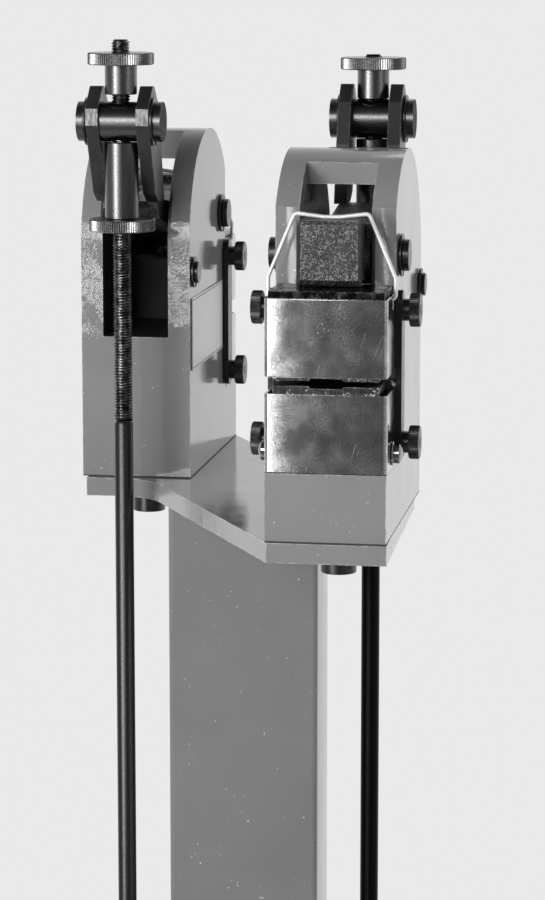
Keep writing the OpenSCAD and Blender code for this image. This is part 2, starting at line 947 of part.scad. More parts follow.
module pedal_side() {
  difference() {
    union() {
      circle(boss_radius);
      translate([rear_arm, 0])
        circle(eye_radius);
      translate([0, -tail_depth / 2])
        square([tail_arm, tail_depth]);
      translate([tail_arm, 0])
        circle(tail_radius);
      rotate(-pedal_rise)
        translate([-front_arm - pad_length / 2 + pad_edge, -arm_depth / 2])
          square([front_arm + pad_length / 2 - pad_edge, arm_depth]);
    }
    circle(d = shaft_diameter + 2 * fit);
    translate([rear_arm, 0])
      circle(d = pin_diameter + eye_play);
    translate([tail_arm, 0])
      circle(d = tail_hole);
  }
}

module pedal(s) {
  color("Gray")
    at_head(s)
      translate([0, pedal_v, pedal_z])
        union() {
          across(bar_thick)
            pedal_side();
          difference() {
            axle(2 * boss_radius, -bar_thick / 2 - boss_lip, bar_thick / 2 + boss_lip, 0, 0);
            axle(shaft_diameter + 2 * fit, -20, 20, 0, 0);
          }
        }
}

module pad(s) {
  color("DimGray")
    at_head(s)
      translate([0, pedal_v, pedal_z])
        rotate([-pedal_rise, 0, 0])
          translate([0, -front_arm, arm_depth / 2]) {
            box(-pad_width / 2, pad_width / 2, -pad_length / 2, pad_length / 2, 0, pad_thick);
            for (i = [-3:3])
              box(-pad_width / 2 + pad_edge, pad_width / 2 - pad_edge, i * pad_rib_pitch - pad_rib / 2,
                i * pad_rib_pitch + pad_rib / 2, pad_thick - 1, pad_thick + pad_rib_height);
          }
}

// Return spring: one wire from the base's eye up through a coil to the pedal's tail.
// Each place on it is [point, side, side] with the two sides square to the wire.

spring_low = base_thick + anchor_rise + 1 + spring_radius;
spring_high = pedal_height - 1 - spring_radius;
coil_low = spring_low + 8;
coil_high = spring_high - 8;
coil_ease = 5;
coil_rings = 8;
hook_rings = 6;

function polar(a, z) = [spring_radius * cos(a), spring_radius * sin(a), z];
function hook_place(a, z, s) =
  [[spring_radius * cos(a), 0, z + s * spring_radius * sin(a)], [cos(a), 0, s * sin(a)], [0, 1, 0]];
function coil_side(a, rise, run) =
  let (t = [-sin(a) * run, cos(a) * run, rise]) cross(t / norm(t), [cos(a), sin(a), 0]);
function coil_place(a, z, rise, run) = [polar(a, z), [cos(a), sin(a), 0], coil_side(a, rise, run)];
function ease_in() = [for (k = [0:4]) let (t = k / 5)
  coil_place(90 * t * t, coil_low + coil_ease * (2 * t - t * t), coil_ease * (2 - 2 * t),
    spring_radius * PI * t)];
function ease_out() = [for (k = [4:-1:0]) let (t = k / 5)
  coil_place(-90 * t * t, coil_high - coil_ease * (2 * t - t * t), coil_ease * (2 - 2 * t),
    spring_radius * PI * t)];
coil_span = coil_high - coil_low - 2 * coil_ease;
coil_turns = spring_turns - 0.5;
function coil_body() = [for (k = [0:coil_turns * coil_rings]) let (a = 90 + 360 * k / coil_rings)
  coil_place(a, coil_low + coil_ease + coil_span * k / (coil_turns * coil_rings), coil_span / coil_turns,
    2 * PI * spring_radius)];
function low_hook() = [for (k = [0:hook_rings]) hook_place(180 - 180 * k / hook_rings, spring_low, -1)];
function high_hook() = [for (k = [0:hook_rings]) hook_place(180 * k / hook_rings, spring_high, 1)];
spring_places = concat(low_hook(), ease_in(), coil_body(), ease_out(), high_hook());

// Least open gap between turns, from ring to ring.
spring_gap = min([for (i = [0:len(spring_places) - 1], j = [i + coil_rings - 1:1:i + coil_rings + 1])
  if (j < len(spring_places)) norm(spring_places[i][0] - spring_places[j][0])]) - spring_wire;
echo(spring_gap = spring_gap);

module return_spring(s) {
  n = len(spring_places);
  m = 6;
  points = [for (q = spring_places, k = [0:m - 1])
    let (a = 360 * k / m) q[0] + spring_wire / 2 * (q[1] * cos(a) + q[2] * sin(a))];
  sides = [for (i = [0:n - 2], k = [0:m - 1], h = [0, 1])
    h == 0 ? [i * m + k, (i + 1) * m + k, (i + 1) * m + (k + 1) % m]
      : [i * m + k, (i + 1) * m + (k + 1) % m, i * m + (k + 1) % m]];
  caps = [[for (k = [0:m - 1]) k], [for (k = [m - 1:-1:0]) (n - 1) * m + k]];
  color("Silver")
    at_head(s)
      translate([0, pedal_v + tail_arm, -plate_z])
        polyhedron(points, concat(sides, caps));
}

base_plate();
post();
base_gussets();
top_plate();
pedal_brackets();
pedal_shafts();
spring_anchors();
head_bolts();
keeper_straps();
thumb_screws();
cover_screws();
pivot_pins();
stub_pins();
pin_clips();
name_plates();
head_body(0);  // stretch_body
head_block(0);  // stretch_block
cover_lower(0);  // stretch_cover_lower
cover_upper(0);  // stretch_cover_upper
jaw_low(0, 0);  // stretch_jaw_low_a
jaw_low(0, 1);  // stretch_jaw_low_b
carrier(0);  // stretch_carrier
bail(0);  // stretch_bail
jaw_up(0, 0);  // stretch_jaw_up_a
jaw_up(0, 1);  // stretch_jaw_up_b
lever_plates(0);  // stretch_lever_plates
nose(0);  // stretch_nose
trunnion(0);  // stretch_trunnion
trunnion_clips(0);  // stretch_trunnion_clips
rod(0);  // stretch_rod
clevis(0);  // stretch_clevis
clevis_pin(0);  // stretch_clevis_pin
nut_upper(0);  // stretch_nut_upper
nut_lower(0);  // stretch_nut_lower
pedal(0);  // stretch_pedal
pad(0);  // stretch_pad
return_spring(0);  // stretch_spring
head_body(1);  // shrink_body
head_block(1);  // shrink_block
cover_lower(1);  // shrink_cover_lower
cover_upper(1);  // shrink_cover_upper
jaw_low(1, 0);  // shrink_jaw_low_a
jaw_low(1, 1);  // shrink_jaw_low_b
carrier(1);  // shrink_carrier
bail(1);  // shrink_bail
jaw_up(1, 0);  // shrink_jaw_up_a
jaw_up(1, 1);  // shrink_jaw_up_b
lever_plates(1);  // shrink_lever_plates
nose(1);  // shrink_nose
trunnion(1);  // shrink_trunnion
trunnion_clips(1);  // shrink_trunnion_clips
rod(1);  // shrink_rod
clevis(1);  // shrink_clevis
clevis_pin(1);  // shrink_clevis_pin
nut_upper(1);  // shrink_nut_upper
nut_lower(1);  // shrink_nut_lower
pedal(1);  // shrink_pedal
pad(1);  // shrink_pad
return_spring(1);  // shrink_spring
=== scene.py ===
import json
import math

import bmesh
import bpy
from mathutils import Matrix, Vector


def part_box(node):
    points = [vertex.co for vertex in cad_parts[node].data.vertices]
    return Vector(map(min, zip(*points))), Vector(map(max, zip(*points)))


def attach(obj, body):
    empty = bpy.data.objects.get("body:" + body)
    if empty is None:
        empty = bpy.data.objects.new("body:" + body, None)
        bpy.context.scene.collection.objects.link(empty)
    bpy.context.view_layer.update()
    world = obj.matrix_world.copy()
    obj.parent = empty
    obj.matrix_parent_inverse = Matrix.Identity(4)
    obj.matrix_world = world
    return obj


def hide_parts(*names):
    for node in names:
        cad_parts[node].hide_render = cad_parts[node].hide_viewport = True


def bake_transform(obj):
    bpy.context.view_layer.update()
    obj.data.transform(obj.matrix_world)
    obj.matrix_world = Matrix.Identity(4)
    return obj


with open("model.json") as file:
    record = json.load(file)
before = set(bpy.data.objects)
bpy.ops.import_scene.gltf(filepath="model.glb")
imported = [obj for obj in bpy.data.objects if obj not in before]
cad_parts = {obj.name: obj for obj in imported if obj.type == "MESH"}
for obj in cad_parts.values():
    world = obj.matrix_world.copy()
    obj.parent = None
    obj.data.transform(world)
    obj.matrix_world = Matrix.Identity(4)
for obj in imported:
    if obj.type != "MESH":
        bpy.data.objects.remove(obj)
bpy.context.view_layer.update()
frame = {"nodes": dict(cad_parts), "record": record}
bodyOf = {n: b for b, nodes in frame["record"]["behaviour"]["bodies"].items() for n in nodes}
print("frame loaded,", len(bodyOf), "nodes")

# metres, as in the CAD model: the top plate's height and where a head stands on it
heads = ("stretch", "shrink")
tableTop = 0.820
headGap, headDepth, headOffset = 0.010, 0.150, 0.064


# head space: x across, y rearward from the foot's front face, z above the top plate
def headPlace(head):
    turn = Matrix.Rotation(math.pi * heads.index(head), 4, "Z")
    return Matrix.Translation((0, 0, tableTop)) @ turn @ Matrix.Translation((headOffset, -headGap - headDepth, 0))


def linear(hexColour):
    value = hexColour.lstrip("#")
    parts = [int(value[i:i + 2], 16) / 255 for i in (0, 2, 4)]
    return tuple([c / 12.92 if c <= 0.04045 else ((c + 0.055) / 1.055) ** 2.4 for c in parts] + [1.0])


# adds one node and gives back one of its sockets; lower case names are the node's own settings
def addNode(tree, kind, settings=None, links=None, out=0):
    node = tree.nodes.new("ShaderNode" + kind)
    for key, value in (settings or {}).items():
        if isinstance(key, int) or key[0].isupper():
            node.inputs[key].default_value = value
        else:
            setattr(node, key, value)
    for socket, source in (links or {}).items():
        tree.links.new(source, node.inputs[socket])
    return node.outputs[out] if len(node.outputs) else None


def startMaterial(name):
    material = bpy.data.materials.new(name)
    material.use_nodes = True
    tree = material.node_tree
    tree.nodes.clear()
    return material, tree, addNode(tree, "TexCoord", out="Object")


def endMaterial(tree, settings, links):
    addNode(tree, "OutputMaterial", None, {"Surface": addNode(tree, "BsdfPrincipled", settings, links)})


# a noise in cycles a metre, squeezed or turned along the axes; its low to high range comes out as 0 to 1
def grain(tree, where, cycles, low=0.0, high=1.0, detail=2.0, turn=(0, 0, 0)):
    scale = [1 / c for c in (cycles if isinstance(cycles, tuple) else (cycles,) * 3)]
    place = addNode(tree, "Mapping", {"vector_type": "TEXTURE", "Scale": scale, "Rotation": turn},
                    {"Vector": where})
    noise = addNode(tree, "TexNoise", {"Scale": 1.0, "Detail": detail}, {"Vector": place})
    return addNode(tree, "MapRange", {1: low, 2: high}, {0: noise})


# how much an edge is rubbed: 1 on the edge, 0 on the flats, broken up by patches
def rubbedEdge(tree, where, radius, patchCycles, amount):
    values = {"samples": 4, "flat": 1.0, "corner": 0.86, "patchLow": 0.42, "patchHigh": 0.62, "patchDetail": 4}
    rounded = addNode(tree, "Bevel", {"samples": values["samples"], "Radius": radius})
    flat = addNode(tree, "NewGeometry", out="Normal")
    facing = addNode(tree, "VectorMath", {"operation": "DOT_PRODUCT"}, {0: rounded, 1: flat}, "Value")
    edge = addNode(tree, "MapRange", {1: values["flat"], 2: values["corner"], 3: 0.0, 4: amount}, {0: facing})
    patch = grain(tree, where, patchCycles, values["patchLow"], values["patchHigh"], values["patchDetail"])
    return addNode(tree, "Math", {"operation": "MULTIPLY", "use_clamp": True}, {0: patch, 1: edge})


# In the finishes below a pattern is its cycles a metre, low, high and detail, as grain takes them, and rubbed
# is the edge's radius, its patches' cycles a metre and the amount, as rubbedEdge takes them.

# sprayed machine enamel over iron and plate: a hard mirror gloss, a little orange peel, small chips down to
# the primer, rubbed edges lightened partly as a painted highlight; onCasting adds the rough skin under the paint,
# painted shade in the slot and a painted contact shadow at the foot, onCutPlate the drag lines of the flame cut
# edge
def machineEnamel(name, onCasting=False, onCutPlate=False, paint="#8a8a8a", shade="#838383"):
    values = {
        "chip": "#d6d6d6", "tone": (14, 0.35, 0.65, 3), "speck": (560, 0.71, 0.73), "speckPatch": (90, 0.5, 0.6),
        "rubbed": (0.0009, 230, 0.9), "roughLow": 0.07, "roughHigh": 0.15, "cloud": (45, 0.35, 0.7, 4),
        "waveCycles": 30, "waveDepth": 0.0002, "peelCycles": 420, "peelDepth": 0.00003,
        # the casting's rear face, with the skin and the belly that it shows
        "rearFace": 0.0104, "rearEnd": 0.0125, "skinLow": 0.893, "skinFull": 0.911, "skinCycles": 560,
        "skinDepth": 0.0005, "skinPatch": (75, 0.34, 0.56, 5), "bellyLow": 0.895, "bellyTop": 0.9395,
        "bellyDepth": 0.0092,
        # painted shade inside the slot and a painted contact shadow along the seam over the top plate
        "paintedShadeColour": "#262626", "insideRough": 0.5, "slotFrom": 0.0108, "slotHalf": 0.0195, "slotDepth": 0.125,
        "slotTop": 0.972, "slotFade": 0.01, "seam": 0.0006, "sharp": 0.0002,
        # the cut edges of a plate, where its faces stand upright
        "drag": (900, 900, 40), "dragDepth": 0.00012, "upright": 0.1, "level": 0.4,
    }
    material, tree, where = startMaterial(name)
    colour = addNode(tree, "Mix", {"data_type": "RGBA", 6: linear(paint), 7: linear(shade)},
                     {0: grain(tree, where, *values["tone"])}, 2)
    speck = addNode(tree, "Math", {"operation": "MULTIPLY"},
                    {0: grain(tree, where, *values["speck"]), 1: grain(tree, where, *values["speckPatch"])})
    colour = addNode(tree, "Mix", {"data_type": "RGBA", 7: linear(values["chip"])}, {0: speck, 6: colour}, 2)
    # the rubbed edges are lightened to the primer colour, partly wear and partly a painted highlight along the
    # edges
    edge = rubbedEdge(tree, where, *values["rubbed"])
    colour = addNode(tree, "Mix", {"data_type": "RGBA", 7: linear(values["chip"])}, {0: edge, 6: colour}, 2)
    rough = addNode(tree, "MapRange", {3: values["roughLow"], 4: values["roughHigh"]},
                    {0: grain(tree, where, *values["cloud"])})
    wave = addNode(tree, "Bump", {"Distance": values["waveDepth"]},
                   {"Height": grain(tree, where, values["waveCycles"], detail=1)})
    normal = addNode(tree, "Bump", {"Distance": values["peelDepth"]},
                     {"Height": grain(tree, where, values["peelCycles"]), "Normal": wave})
    if onCasting:
        parts = addNode(tree, "SeparateXYZ", None, {0: where}, "X").node.outputs
        away = addNode(tree, "Math", {"operation": "ABSOLUTE"}, {0: parts["Y"]})
        side = addNode(tree, "Math", {"operation": "ABSOLUTE"}, {0: parts["X"]})
        off = addNode(tree, "Math", {"operation": "SUBTRACT", 1: headOffset}, {0: side})
        off = addNode(tree, "Math", {"operation": "ABSOLUTE"}, {0: off})
        rear = addNode(tree, "MapRange", {1: values["rearFace"], 2: values["rearEnd"], 3: 1, 4: 0}, {0: away})
        above = addNode(tree, "MapRange", {1: values["skinLow"], 2: values["skinFull"]}, {0: parts["Z"]})
        patch = addNode(tree, "Math", {"operation": "MULTIPLY"}, {0: rear, 1: above})
        patch = addNode(tree, "Math", {"operation": "MULTIPLY"},
                        {0: patch, 1: grain(tree, where, *values["skinPatch"])})
        belly = addNode(tree, "MapRange", {1: values["bellyLow"], 2: values["bellyTop"], 3: 1, 4: 0},
                        {0: parts["Z"]})
        normal = addNode(tree, "Bump", {"Distance": values["bellyDepth"]},
                         {"Height": belly, "Normal": normal, "Strength": patch})
        normal = addNode(tree, "Bump", {"Distance": values["skinDepth"]},
                         {"Height": grain(tree, where, values["skinCycles"], detail=3), "Normal": normal,
                          "Strength": patch})
        # painted shade: the slot's inside walls and floor are coloured dark and made rough, as if in deep shadow
        inner = addNode(tree, "MapRange", {1: values["slotHalf"], 2: values["slotHalf"] + values["sharp"],
                                           3: 1, 4: 0}, {0: off})
        deep = addNode(tree, "MapRange", {1: values["slotFrom"], 2: values["rearEnd"]}, {0: away})
        near = addNode(tree, "MapRange", {1: values["slotDepth"], 2: values["slotDepth"] + values["slotFade"],
                                          3: 1, 4: 0}, {0: away})
        paintedShade = addNode(tree, "Math", {"operation": "MULTIPLY"}, {0: inner, 1: deep})
        paintedShade = addNode(tree, "Math", {"operation": "MULTIPLY"}, {0: paintedShade, 1: near})
        below = addNode(tree, "MapRange", {1: values["slotTop"], 2: values["slotTop"] + values["slotFade"],
                                           3: 1, 4: 0}, {0: parts["Z"]})
        paintedShade = addNode(tree, "Math", {"operation": "MULTIPLY"}, {0: paintedShade, 1: below})
        # painted contact shadow: a thin dark band along the foot where the casting meets the top plate
        seam = tableTop + values["seam"]
        foot = addNode(tree, "MapRange", {1: seam, 2: seam + values["sharp"], 3: 1, 4: 0}, {0: parts["Z"]})
        paintedShade = addNode(tree, "Math", {"operation": "MAXIMUM"}, {0: paintedShade, 1: foot})
        colour = addNode(tree, "Mix", {"data_type": "RGBA", 7: linear(values["paintedShadeColour"])},
                         {0: paintedShade, 6: colour}, 2)
        rough = addNode(tree, "Math", {"operation": "MULTIPLY_ADD", 1: values["insideRough"]},
                        {0: paintedShade, 2: rough})
    if onCutPlate:
        facing = addNode(tree, "SeparateXYZ", None, {0: addNode(tree, "NewGeometry", out="Normal")}, "Z")
        flat = addNode(tree, "Math", {"operation": "ABSOLUTE"}, {0: facing})
        mask = addNode(tree, "MapRange", {1: values["upright"], 2: values["level"], 3: 1, 4: 0}, {0: flat})
        drag = grain(tree, where, values["drag"])
        normal = addNode(tree, "Bump", {"Distance": values["dragDepth"]},
                         {"Height": drag, "Normal": normal, "Strength": mask})
    endMaterial(tree, {"IOR": 1.5}, {"Base Color": colour, "Roughness": rough, "Normal": normal})
    return material


# cold rolled stainless sheet, pressed with a slight crown and polished by handling: near mirror, with cloudy
# smudges, fine dots and a few long hair scratches
def scratchedStainless():
    values = {
        "sheet": "#9a9a9a", "smear": "#c6c6c6", "grit": "#828282", "line": "#f4f4f4",
        "smudge": (75, 0.36, 0.68, 12), "dots": (1100, 0.44, 0.66, 3), "dotPatch": (120, 0.3, 0.62, 4),
        "marks": (1400, 0.62, 0.72), "markPatch": (60, 0.5, 0.7, 3), "rubbed": (0.0005, 400, 0.8),
        "hair": (90, 90, 4), "hairLean": 0.32, "hairLevel": 0.5, "hairThin": 0.0015,
        "hairPatch": (55, 0.56, 0.62), "roughLow": 0.15, "roughHigh": 0.2, "markRough": 0.16,
        "crown": 0.0012, "half": 0.03, "fine": (1700, 1700, 900), "fineDepth": 0.00002, "fineStrength": 0.6,
    }
    material, tree, where = startMaterial("scratched_stainless")
    smear = grain(tree, where, *values["smudge"])
    colour = addNode(tree, "Mix", {"data_type": "RGBA", 6: linear(values["sheet"]), 7: linear(values["smear"])},
                     {0: smear}, 2)
    grit = addNode(tree, "Math", {"operation": "MULTIPLY"},
                   {0: grain(tree, where, *values["dots"]), 1: grain(tree, where, *values["dotPatch"])})
    colour = addNode(tree, "Mix", {"data_type": "RGBA", 7: linear(values["grit"])}, {0: grit, 6: colour}, 2)
    marks = addNode(tree, "Math", {"operation": "MULTIPLY"},
                    {0: grain(tree, where, *values["marks"]), 1: grain(tree, where, *values["markPatch"])})
    hair = grain(tree, where, values["hair"], detail=1, turn=(0, values["hairLean"], 0))
    hair = addNode(tree, "Math", {"operation": "COMPARE", 1: values["hairLevel"], 2: values["hairThin"]}, {0: hair})
    hair = addNode(tree, "Math", {"operation": "MULTIPLY"},
                   {0: hair, 1: grain(tree, where, *values["hairPatch"])})
    marks = addNode(tree, "Math", {"operation": "MAXIMUM"}, {0: marks, 1: hair})
    marks = addNode(tree, "Math", {"operation": "MAXIMUM"},
                    {0: marks, 1: rubbedEdge(tree, where, *values["rubbed"])})
    colour = addNode(tree, "Mix", {"data_type": "RGBA", 7: linear(values["line"])}, {0: marks, 6: colour}, 2)
    rough = addNode(tree, "MapRange", {3: values["roughLow"], 4: values["roughHigh"]}, {0: smear})
    rough = addNode(tree, "Math", {"operation": "MULTIPLY_ADD", 1: values["markRough"]}, {0: marks, 2: rough})
    side = addNode(tree, "SeparateXYZ", None, {0: where}, "X")
    side = addNode(tree, "Math", {"operation": "ABSOLUTE"}, {0: side})
    side = addNode(tree, "MapRange", {1: headOffset - values["half"], 2: headOffset + values["half"],
                                      3: -1, 4: 1}, {0: side})
    square = addNode(tree, "Math", {"operation": "MULTIPLY"}, {0: side, 1: side})
    sag = addNode(tree, "Math", {"operation": "SUBTRACT", 0: 1.0}, {1: square})
    crown = addNode(tree, "Bump", {"Distance": values["crown"]}, {"Height": sag})
    normal = addNode(tree, "Bump", {"Distance": values["fineDepth"], "Strength": values["fineStrength"]},
                     {"Height": grain(tree, where, values["fine"], detail=3), "Normal": crown})
    endMaterial(tree, {"Metallic": 1.0}, {"Base Color": colour, "Roughness": rough, "Normal": normal})
    return material


# steel turned on a lathe about one axis, then blued: satin, with faint tool rings and rubbed edges
def turnedSteel(name, axis, dark, worn, roughLow, roughHigh, ringDepth=0.00002):
    values = {"along": 30, "rings": 2400, "fleck": (1500, 0.3, 0.7), "rub": "#b4b4b4",  # rings 0.4 mm apart
              "rubbed": (0.0005, 300, 0.9), "ringStrength": 0.6}
    along, rings = values["along"], values["rings"]
    cycles = {"x": (rings, along, along), "z": (along, along, rings)}[axis]
    material, tree, where = startMaterial(name)
    fleck = grain(tree, where, *values["fleck"])
    colour = addNode(tree, "Mix", {"data_type": "RGBA", 6: linear(dark), 7: linear(worn)}, {0: fleck}, 2)
    colour = addNode(tree, "Mix", {"data_type": "RGBA", 7: linear(values["rub"])},
                     {0: rubbedEdge(tree, where, *values["rubbed"]), 6: colour}, 2)
    rough = addNode(tree, "MapRange", {3: roughHigh, 4: roughLow}, {0: fleck})
    normal = addNode(tree, "Bump", {"Distance": ringDepth, "Strength": values["ringStrength"]},
                     {"Height": grain(tree, where, cycles)})
    endMaterial(tree, {"Metallic": 1.0}, {"Base Color": colour, "Roughness": rough, "Normal": normal})
    return material


# black oxide on small turned parts: nearly black, oily satin, grey where fingers rub the edges
def blackOxide(name, roughLow, roughHigh, gloss):
    values = {"dark": "#0d0d0d", "pale": "#1b1b1b", "rub": "#6a6a6a", "cloud": (260, 0.4, 0.7, 3),
              "rubbed": (0.0004, 500, 0.8), "fineCycles": 1600, "fineDepth": 0.00002, "fineStrength": 0.6}
    material, tree, where = startMaterial(name)
    cloud = grain(tree, where, *values["cloud"])
    colour = addNode(tree, "Mix", {"data_type": "RGBA", 6: linear(values["dark"]), 7: linear(values["pale"])},
                     {0: cloud}, 2)
    colour = addNode(tree, "Mix", {"data_type": "RGBA", 7: linear(values["rub"])},
                     {0: rubbedEdge(tree, where, *values["rubbed"]), 6: colour}, 2)
    rough = addNode(tree, "MapRange", {3: roughLow, 4: roughHigh}, {0: cloud})
    fine = addNode(tree, "Bump", {"Distance": values["fineDepth"], "Strength": values["fineStrength"]},
                   {"Height": grain(tree, where, values["fineCycles"])})
    endMaterial(tree, {"IOR": gloss}, {"Base Color": colour, "Roughness": rough, "Normal": fine})
    return material


# bright zinc on drawn wire: pale, satin, with a faint grain along the part
def brightZinc():
    values = {"pale": "#fafafa", "dull": "#e6e6e6", "cloud": ((200, 200, 60), 0.35, 0.65, 3), "roughLow": 0.3,
              "roughHigh": 0.42, "fine": (1800, 1800, 90), "fineDepth": 0.00001, "fineStrength": 0.5}
    material, tree, where = startMaterial("bright_zinc")
    cloud = grain(tree, where, *values["cloud"])
    colour = addNode(tree, "Mix", {"data_type": "RGBA", 6: linear(values["pale"]), 7: linear(values["dull"])},
                     {0: cloud}, 2)
    rough = addNode(tree, "MapRange", {3: values["roughLow"], 4: values["roughHigh"]}, {0: cloud})
    fine = addNode(tree, "Bump", {"Distance": values["fineDepth"], "Strength": values["fineStrength"]},
                   {"Height": grain(tree, where, values["fine"])})
    endMaterial(tree, {"Metallic": 0.3}, {"Base Color": colour, "Roughness": rough, "Normal": fine})
    return material


# nickel plated button screws: a dark clear mirror on the domes
def nickelPlate():
    values = {"pale": "#a6a6a6", "dull": "#707070", "cloud": (500, 0.4, 0.7, 3), "fineCycles": 900,
              "fineDepth": 0.00002, "fineStrength": 0.5}
    material, tree, where = startMaterial("nickel_plate")
    cloud = grain(tree, where, *values["cloud"])
    colour = addNode(tree, "Mix", {"data_type": "RGBA", 6: linear(values["pale"]), 7: linear(values["dull"])},
                     {0: cloud}, 2)
    fine = addNode(tree, "Bump", {"Distance": values["fineDepth"], "Strength": values["fineStrength"]},
                   {"Height": grain(tree, where, values["fineCycles"])})
    endMaterial(tree, {"Metallic": 1.0, "Roughness": 0.16}, {"Base Color": colour, "Normal": fine})
    return material


# black painted sand casting: a pebbled skin of 0.87 mm grains, many coloured pale as painted highlights, more of
# them in painted lit patches, and a few pits
def sandCastBlack():
    values = {"low": "#0c0c0c", "high": "#848484", "rub": "#8c8c8c", "sand": (1150, 0.3, 0.7), "sandDepth": 0.0004,
              "lit": (70, 0.35, 0.65, 3), "unlitLevel": 0.1, "litLevel": -0.06, "shownFrom": 0.45, "shownTo": 0.85,
              "rubbed": (0.0012, 420, 0.9), "pits": (110, 0.3, 0.42), "pitDepth": 0.0004, "roughLow": 0.2,
              "roughHigh": 0.4}
    material, tree, where = startMaterial("sand_cast_black")
    # painted highlights: grains above a level are coloured pale grey to stand in for glints, and the level drops in
    # painted lit patches
    sand = grain(tree, where, *values["sand"])
    lit = grain(tree, where, *values["lit"])
    level = addNode(tree, "MapRange", {3: values["unlitLevel"], 4: values["litLevel"]}, {0: lit})
    shown = addNode(tree, "Math", {"operation": "SUBTRACT"}, {0: sand, 1: level})
    high = addNode(tree, "MapRange", {1: values["shownFrom"], 2: values["shownTo"]}, {0: shown})
    colour = addNode(tree, "Mix", {"data_type": "RGBA", 6: linear(values["low"]), 7: linear(values["high"])},
                     {0: high}, 2)
    colour = addNode(tree, "Mix", {"data_type": "RGBA", 7: linear(values["rub"])},
                     {0: rubbedEdge(tree, where, *values["rubbed"]), 6: colour}, 2)
    lump = addNode(tree, "Bump", {"Distance": values["pitDepth"]}, {"Height": grain(tree, where, *values["pits"])})
    rough = addNode(tree, "MapRange", {3: values["roughHigh"], 4: values["roughLow"]}, {0: high})
    normal = addNode(tree, "Bump", {"Distance": values["sandDepth"]}, {"Height": sand, "Normal": lump})
    endMaterial(tree, {"IOR": 1.7}, {"Base Color": colour, "Roughness": rough, "Normal": normal})
    return material


# flame cut plate with a thin black oxide: dull dark faces, rubbed bright along the corners
def oxidePlate():
    values = {"dark": "#202020", "pale": "#2c2c2c", "rub": "#8a8a8a", "cloud": (90, 0.35, 0.68, 5),
              "rubbed": (0.0008, 260, 0.9), "roughLow": 0.3, "roughHigh": 0.4, "fineCycles": 900,
              "fineDepth": 0.00004, "fineStrength": 0.7}
    material, tree, where = startMaterial("oxide_plate")
    cloud = grain(tree, where, *values["cloud"])
    colour = addNode(tree, "Mix", {"data_type": "RGBA", 6: linear(values["dark"]), 7: linear(values["pale"])},
                     {0: cloud}, 2)
    colour = addNode(tree, "Mix", {"data_type": "RGBA", 7: linear(values["rub"])},
                     {0: rubbedEdge(tree, where, *values["rubbed"]), 6: colour}, 2)
    rough = addNode(tree, "MapRange", {3: values["roughHigh"], 4: values["roughLow"]}, {0: cloud})
    fine = addNode(tree, "Bump", {"Distance": values["fineDepth"], "Strength": values["fineStrength"]},
                   {"Height": grain(tree, where, values["fineCycles"], detail=4)})
    endMaterial(tree, {"IOR": 1.5}, {"Base Color": colour, "Roughness": rough, "Normal": fine})
    return material


# the same plate milled where it rubs on the adjusting nut: grey steel with bright drags, lighter as a painted
# reflection
def milledPlatePaintedSheen():
    values = {"dark": "#545454", "bright": "#8a8a8a", "drag": ((700, 700, 260), 0.4, 0.66, 4), "roughLow": 0.36,
              "roughHigh": 0.5, "fineCycles": 900, "fineDepth": 0.00004, "fineStrength": 0.7}
    material, tree, where = startMaterial("milled_plate_painted_sheen")
    drag = grain(tree, where, *values["drag"])
    colour = addNode(tree, "Mix", {"data_type": "RGBA", 6: linear(values["dark"]), 7: linear(values["bright"])},
                     {0: drag}, 2)
    rough = addNode(tree, "MapRange", {3: values["roughLow"], 4: values["roughHigh"]}, {0: drag})
    fine = addNode(tree, "Bump", {"Distance": values["fineDepth"], "Strength": values["fineStrength"]},
                   {"Height": grain(tree, where, values["fineCycles"], detail=4)})
    endMaterial(tree, {"Metallic": 0.8}, {"Base Color": colour, "Roughness": rough, "Normal": fine})
    return material


# hardened and ground tool steel, oily: dark, with grinding lines along the jaw and bright worn teeth
def groundToolSteel():
    values = {"dark": "#262626", "bright": "#5a5a5a", "worn": "#eeeeee", "lines": ((2200, 60, 400), 0.3, 0.7, 3),
              "speck": (1300, 0.58, 0.66), "speckPatch": (150, 0.46, 0.56), "rubbed": (0.0006, 700, 1.0),
              "lineDepth": 0.00003, "lineStrength": 0.7}
    material, tree, where = startMaterial("ground_tool_steel")
    lines = grain(tree, where, *values["lines"])
    colour = addNode(tree, "Mix", {"data_type": "RGBA", 6: linear(values["dark"]), 7: linear(values["bright"])},
                     {0: lines}, 2)
    speck = addNode(tree, "Math", {"operation": "MULTIPLY"},
                    {0: grain(tree, where, *values["speck"]), 1: grain(tree, where, *values["speckPatch"])})
    worn = addNode(tree, "Math", {"operation": "MAXIMUM"},
                   {0: speck, 1: rubbedEdge(tree, where, *values["rubbed"])})
    colour = addNode(tree, "Mix", {"data_type": "RGBA", 7: linear(values["worn"])}, {0: worn, 6: colour}, 2)
    fine = addNode(tree, "Bump", {"Distance": values["lineDepth"], "Strength": values["lineStrength"]},
                   {"Height": lines})
    endMaterial(tree, {"Metallic": 1.0, "Roughness": 0.28}, {"Base Color": colour, "Normal": fine})
    return material


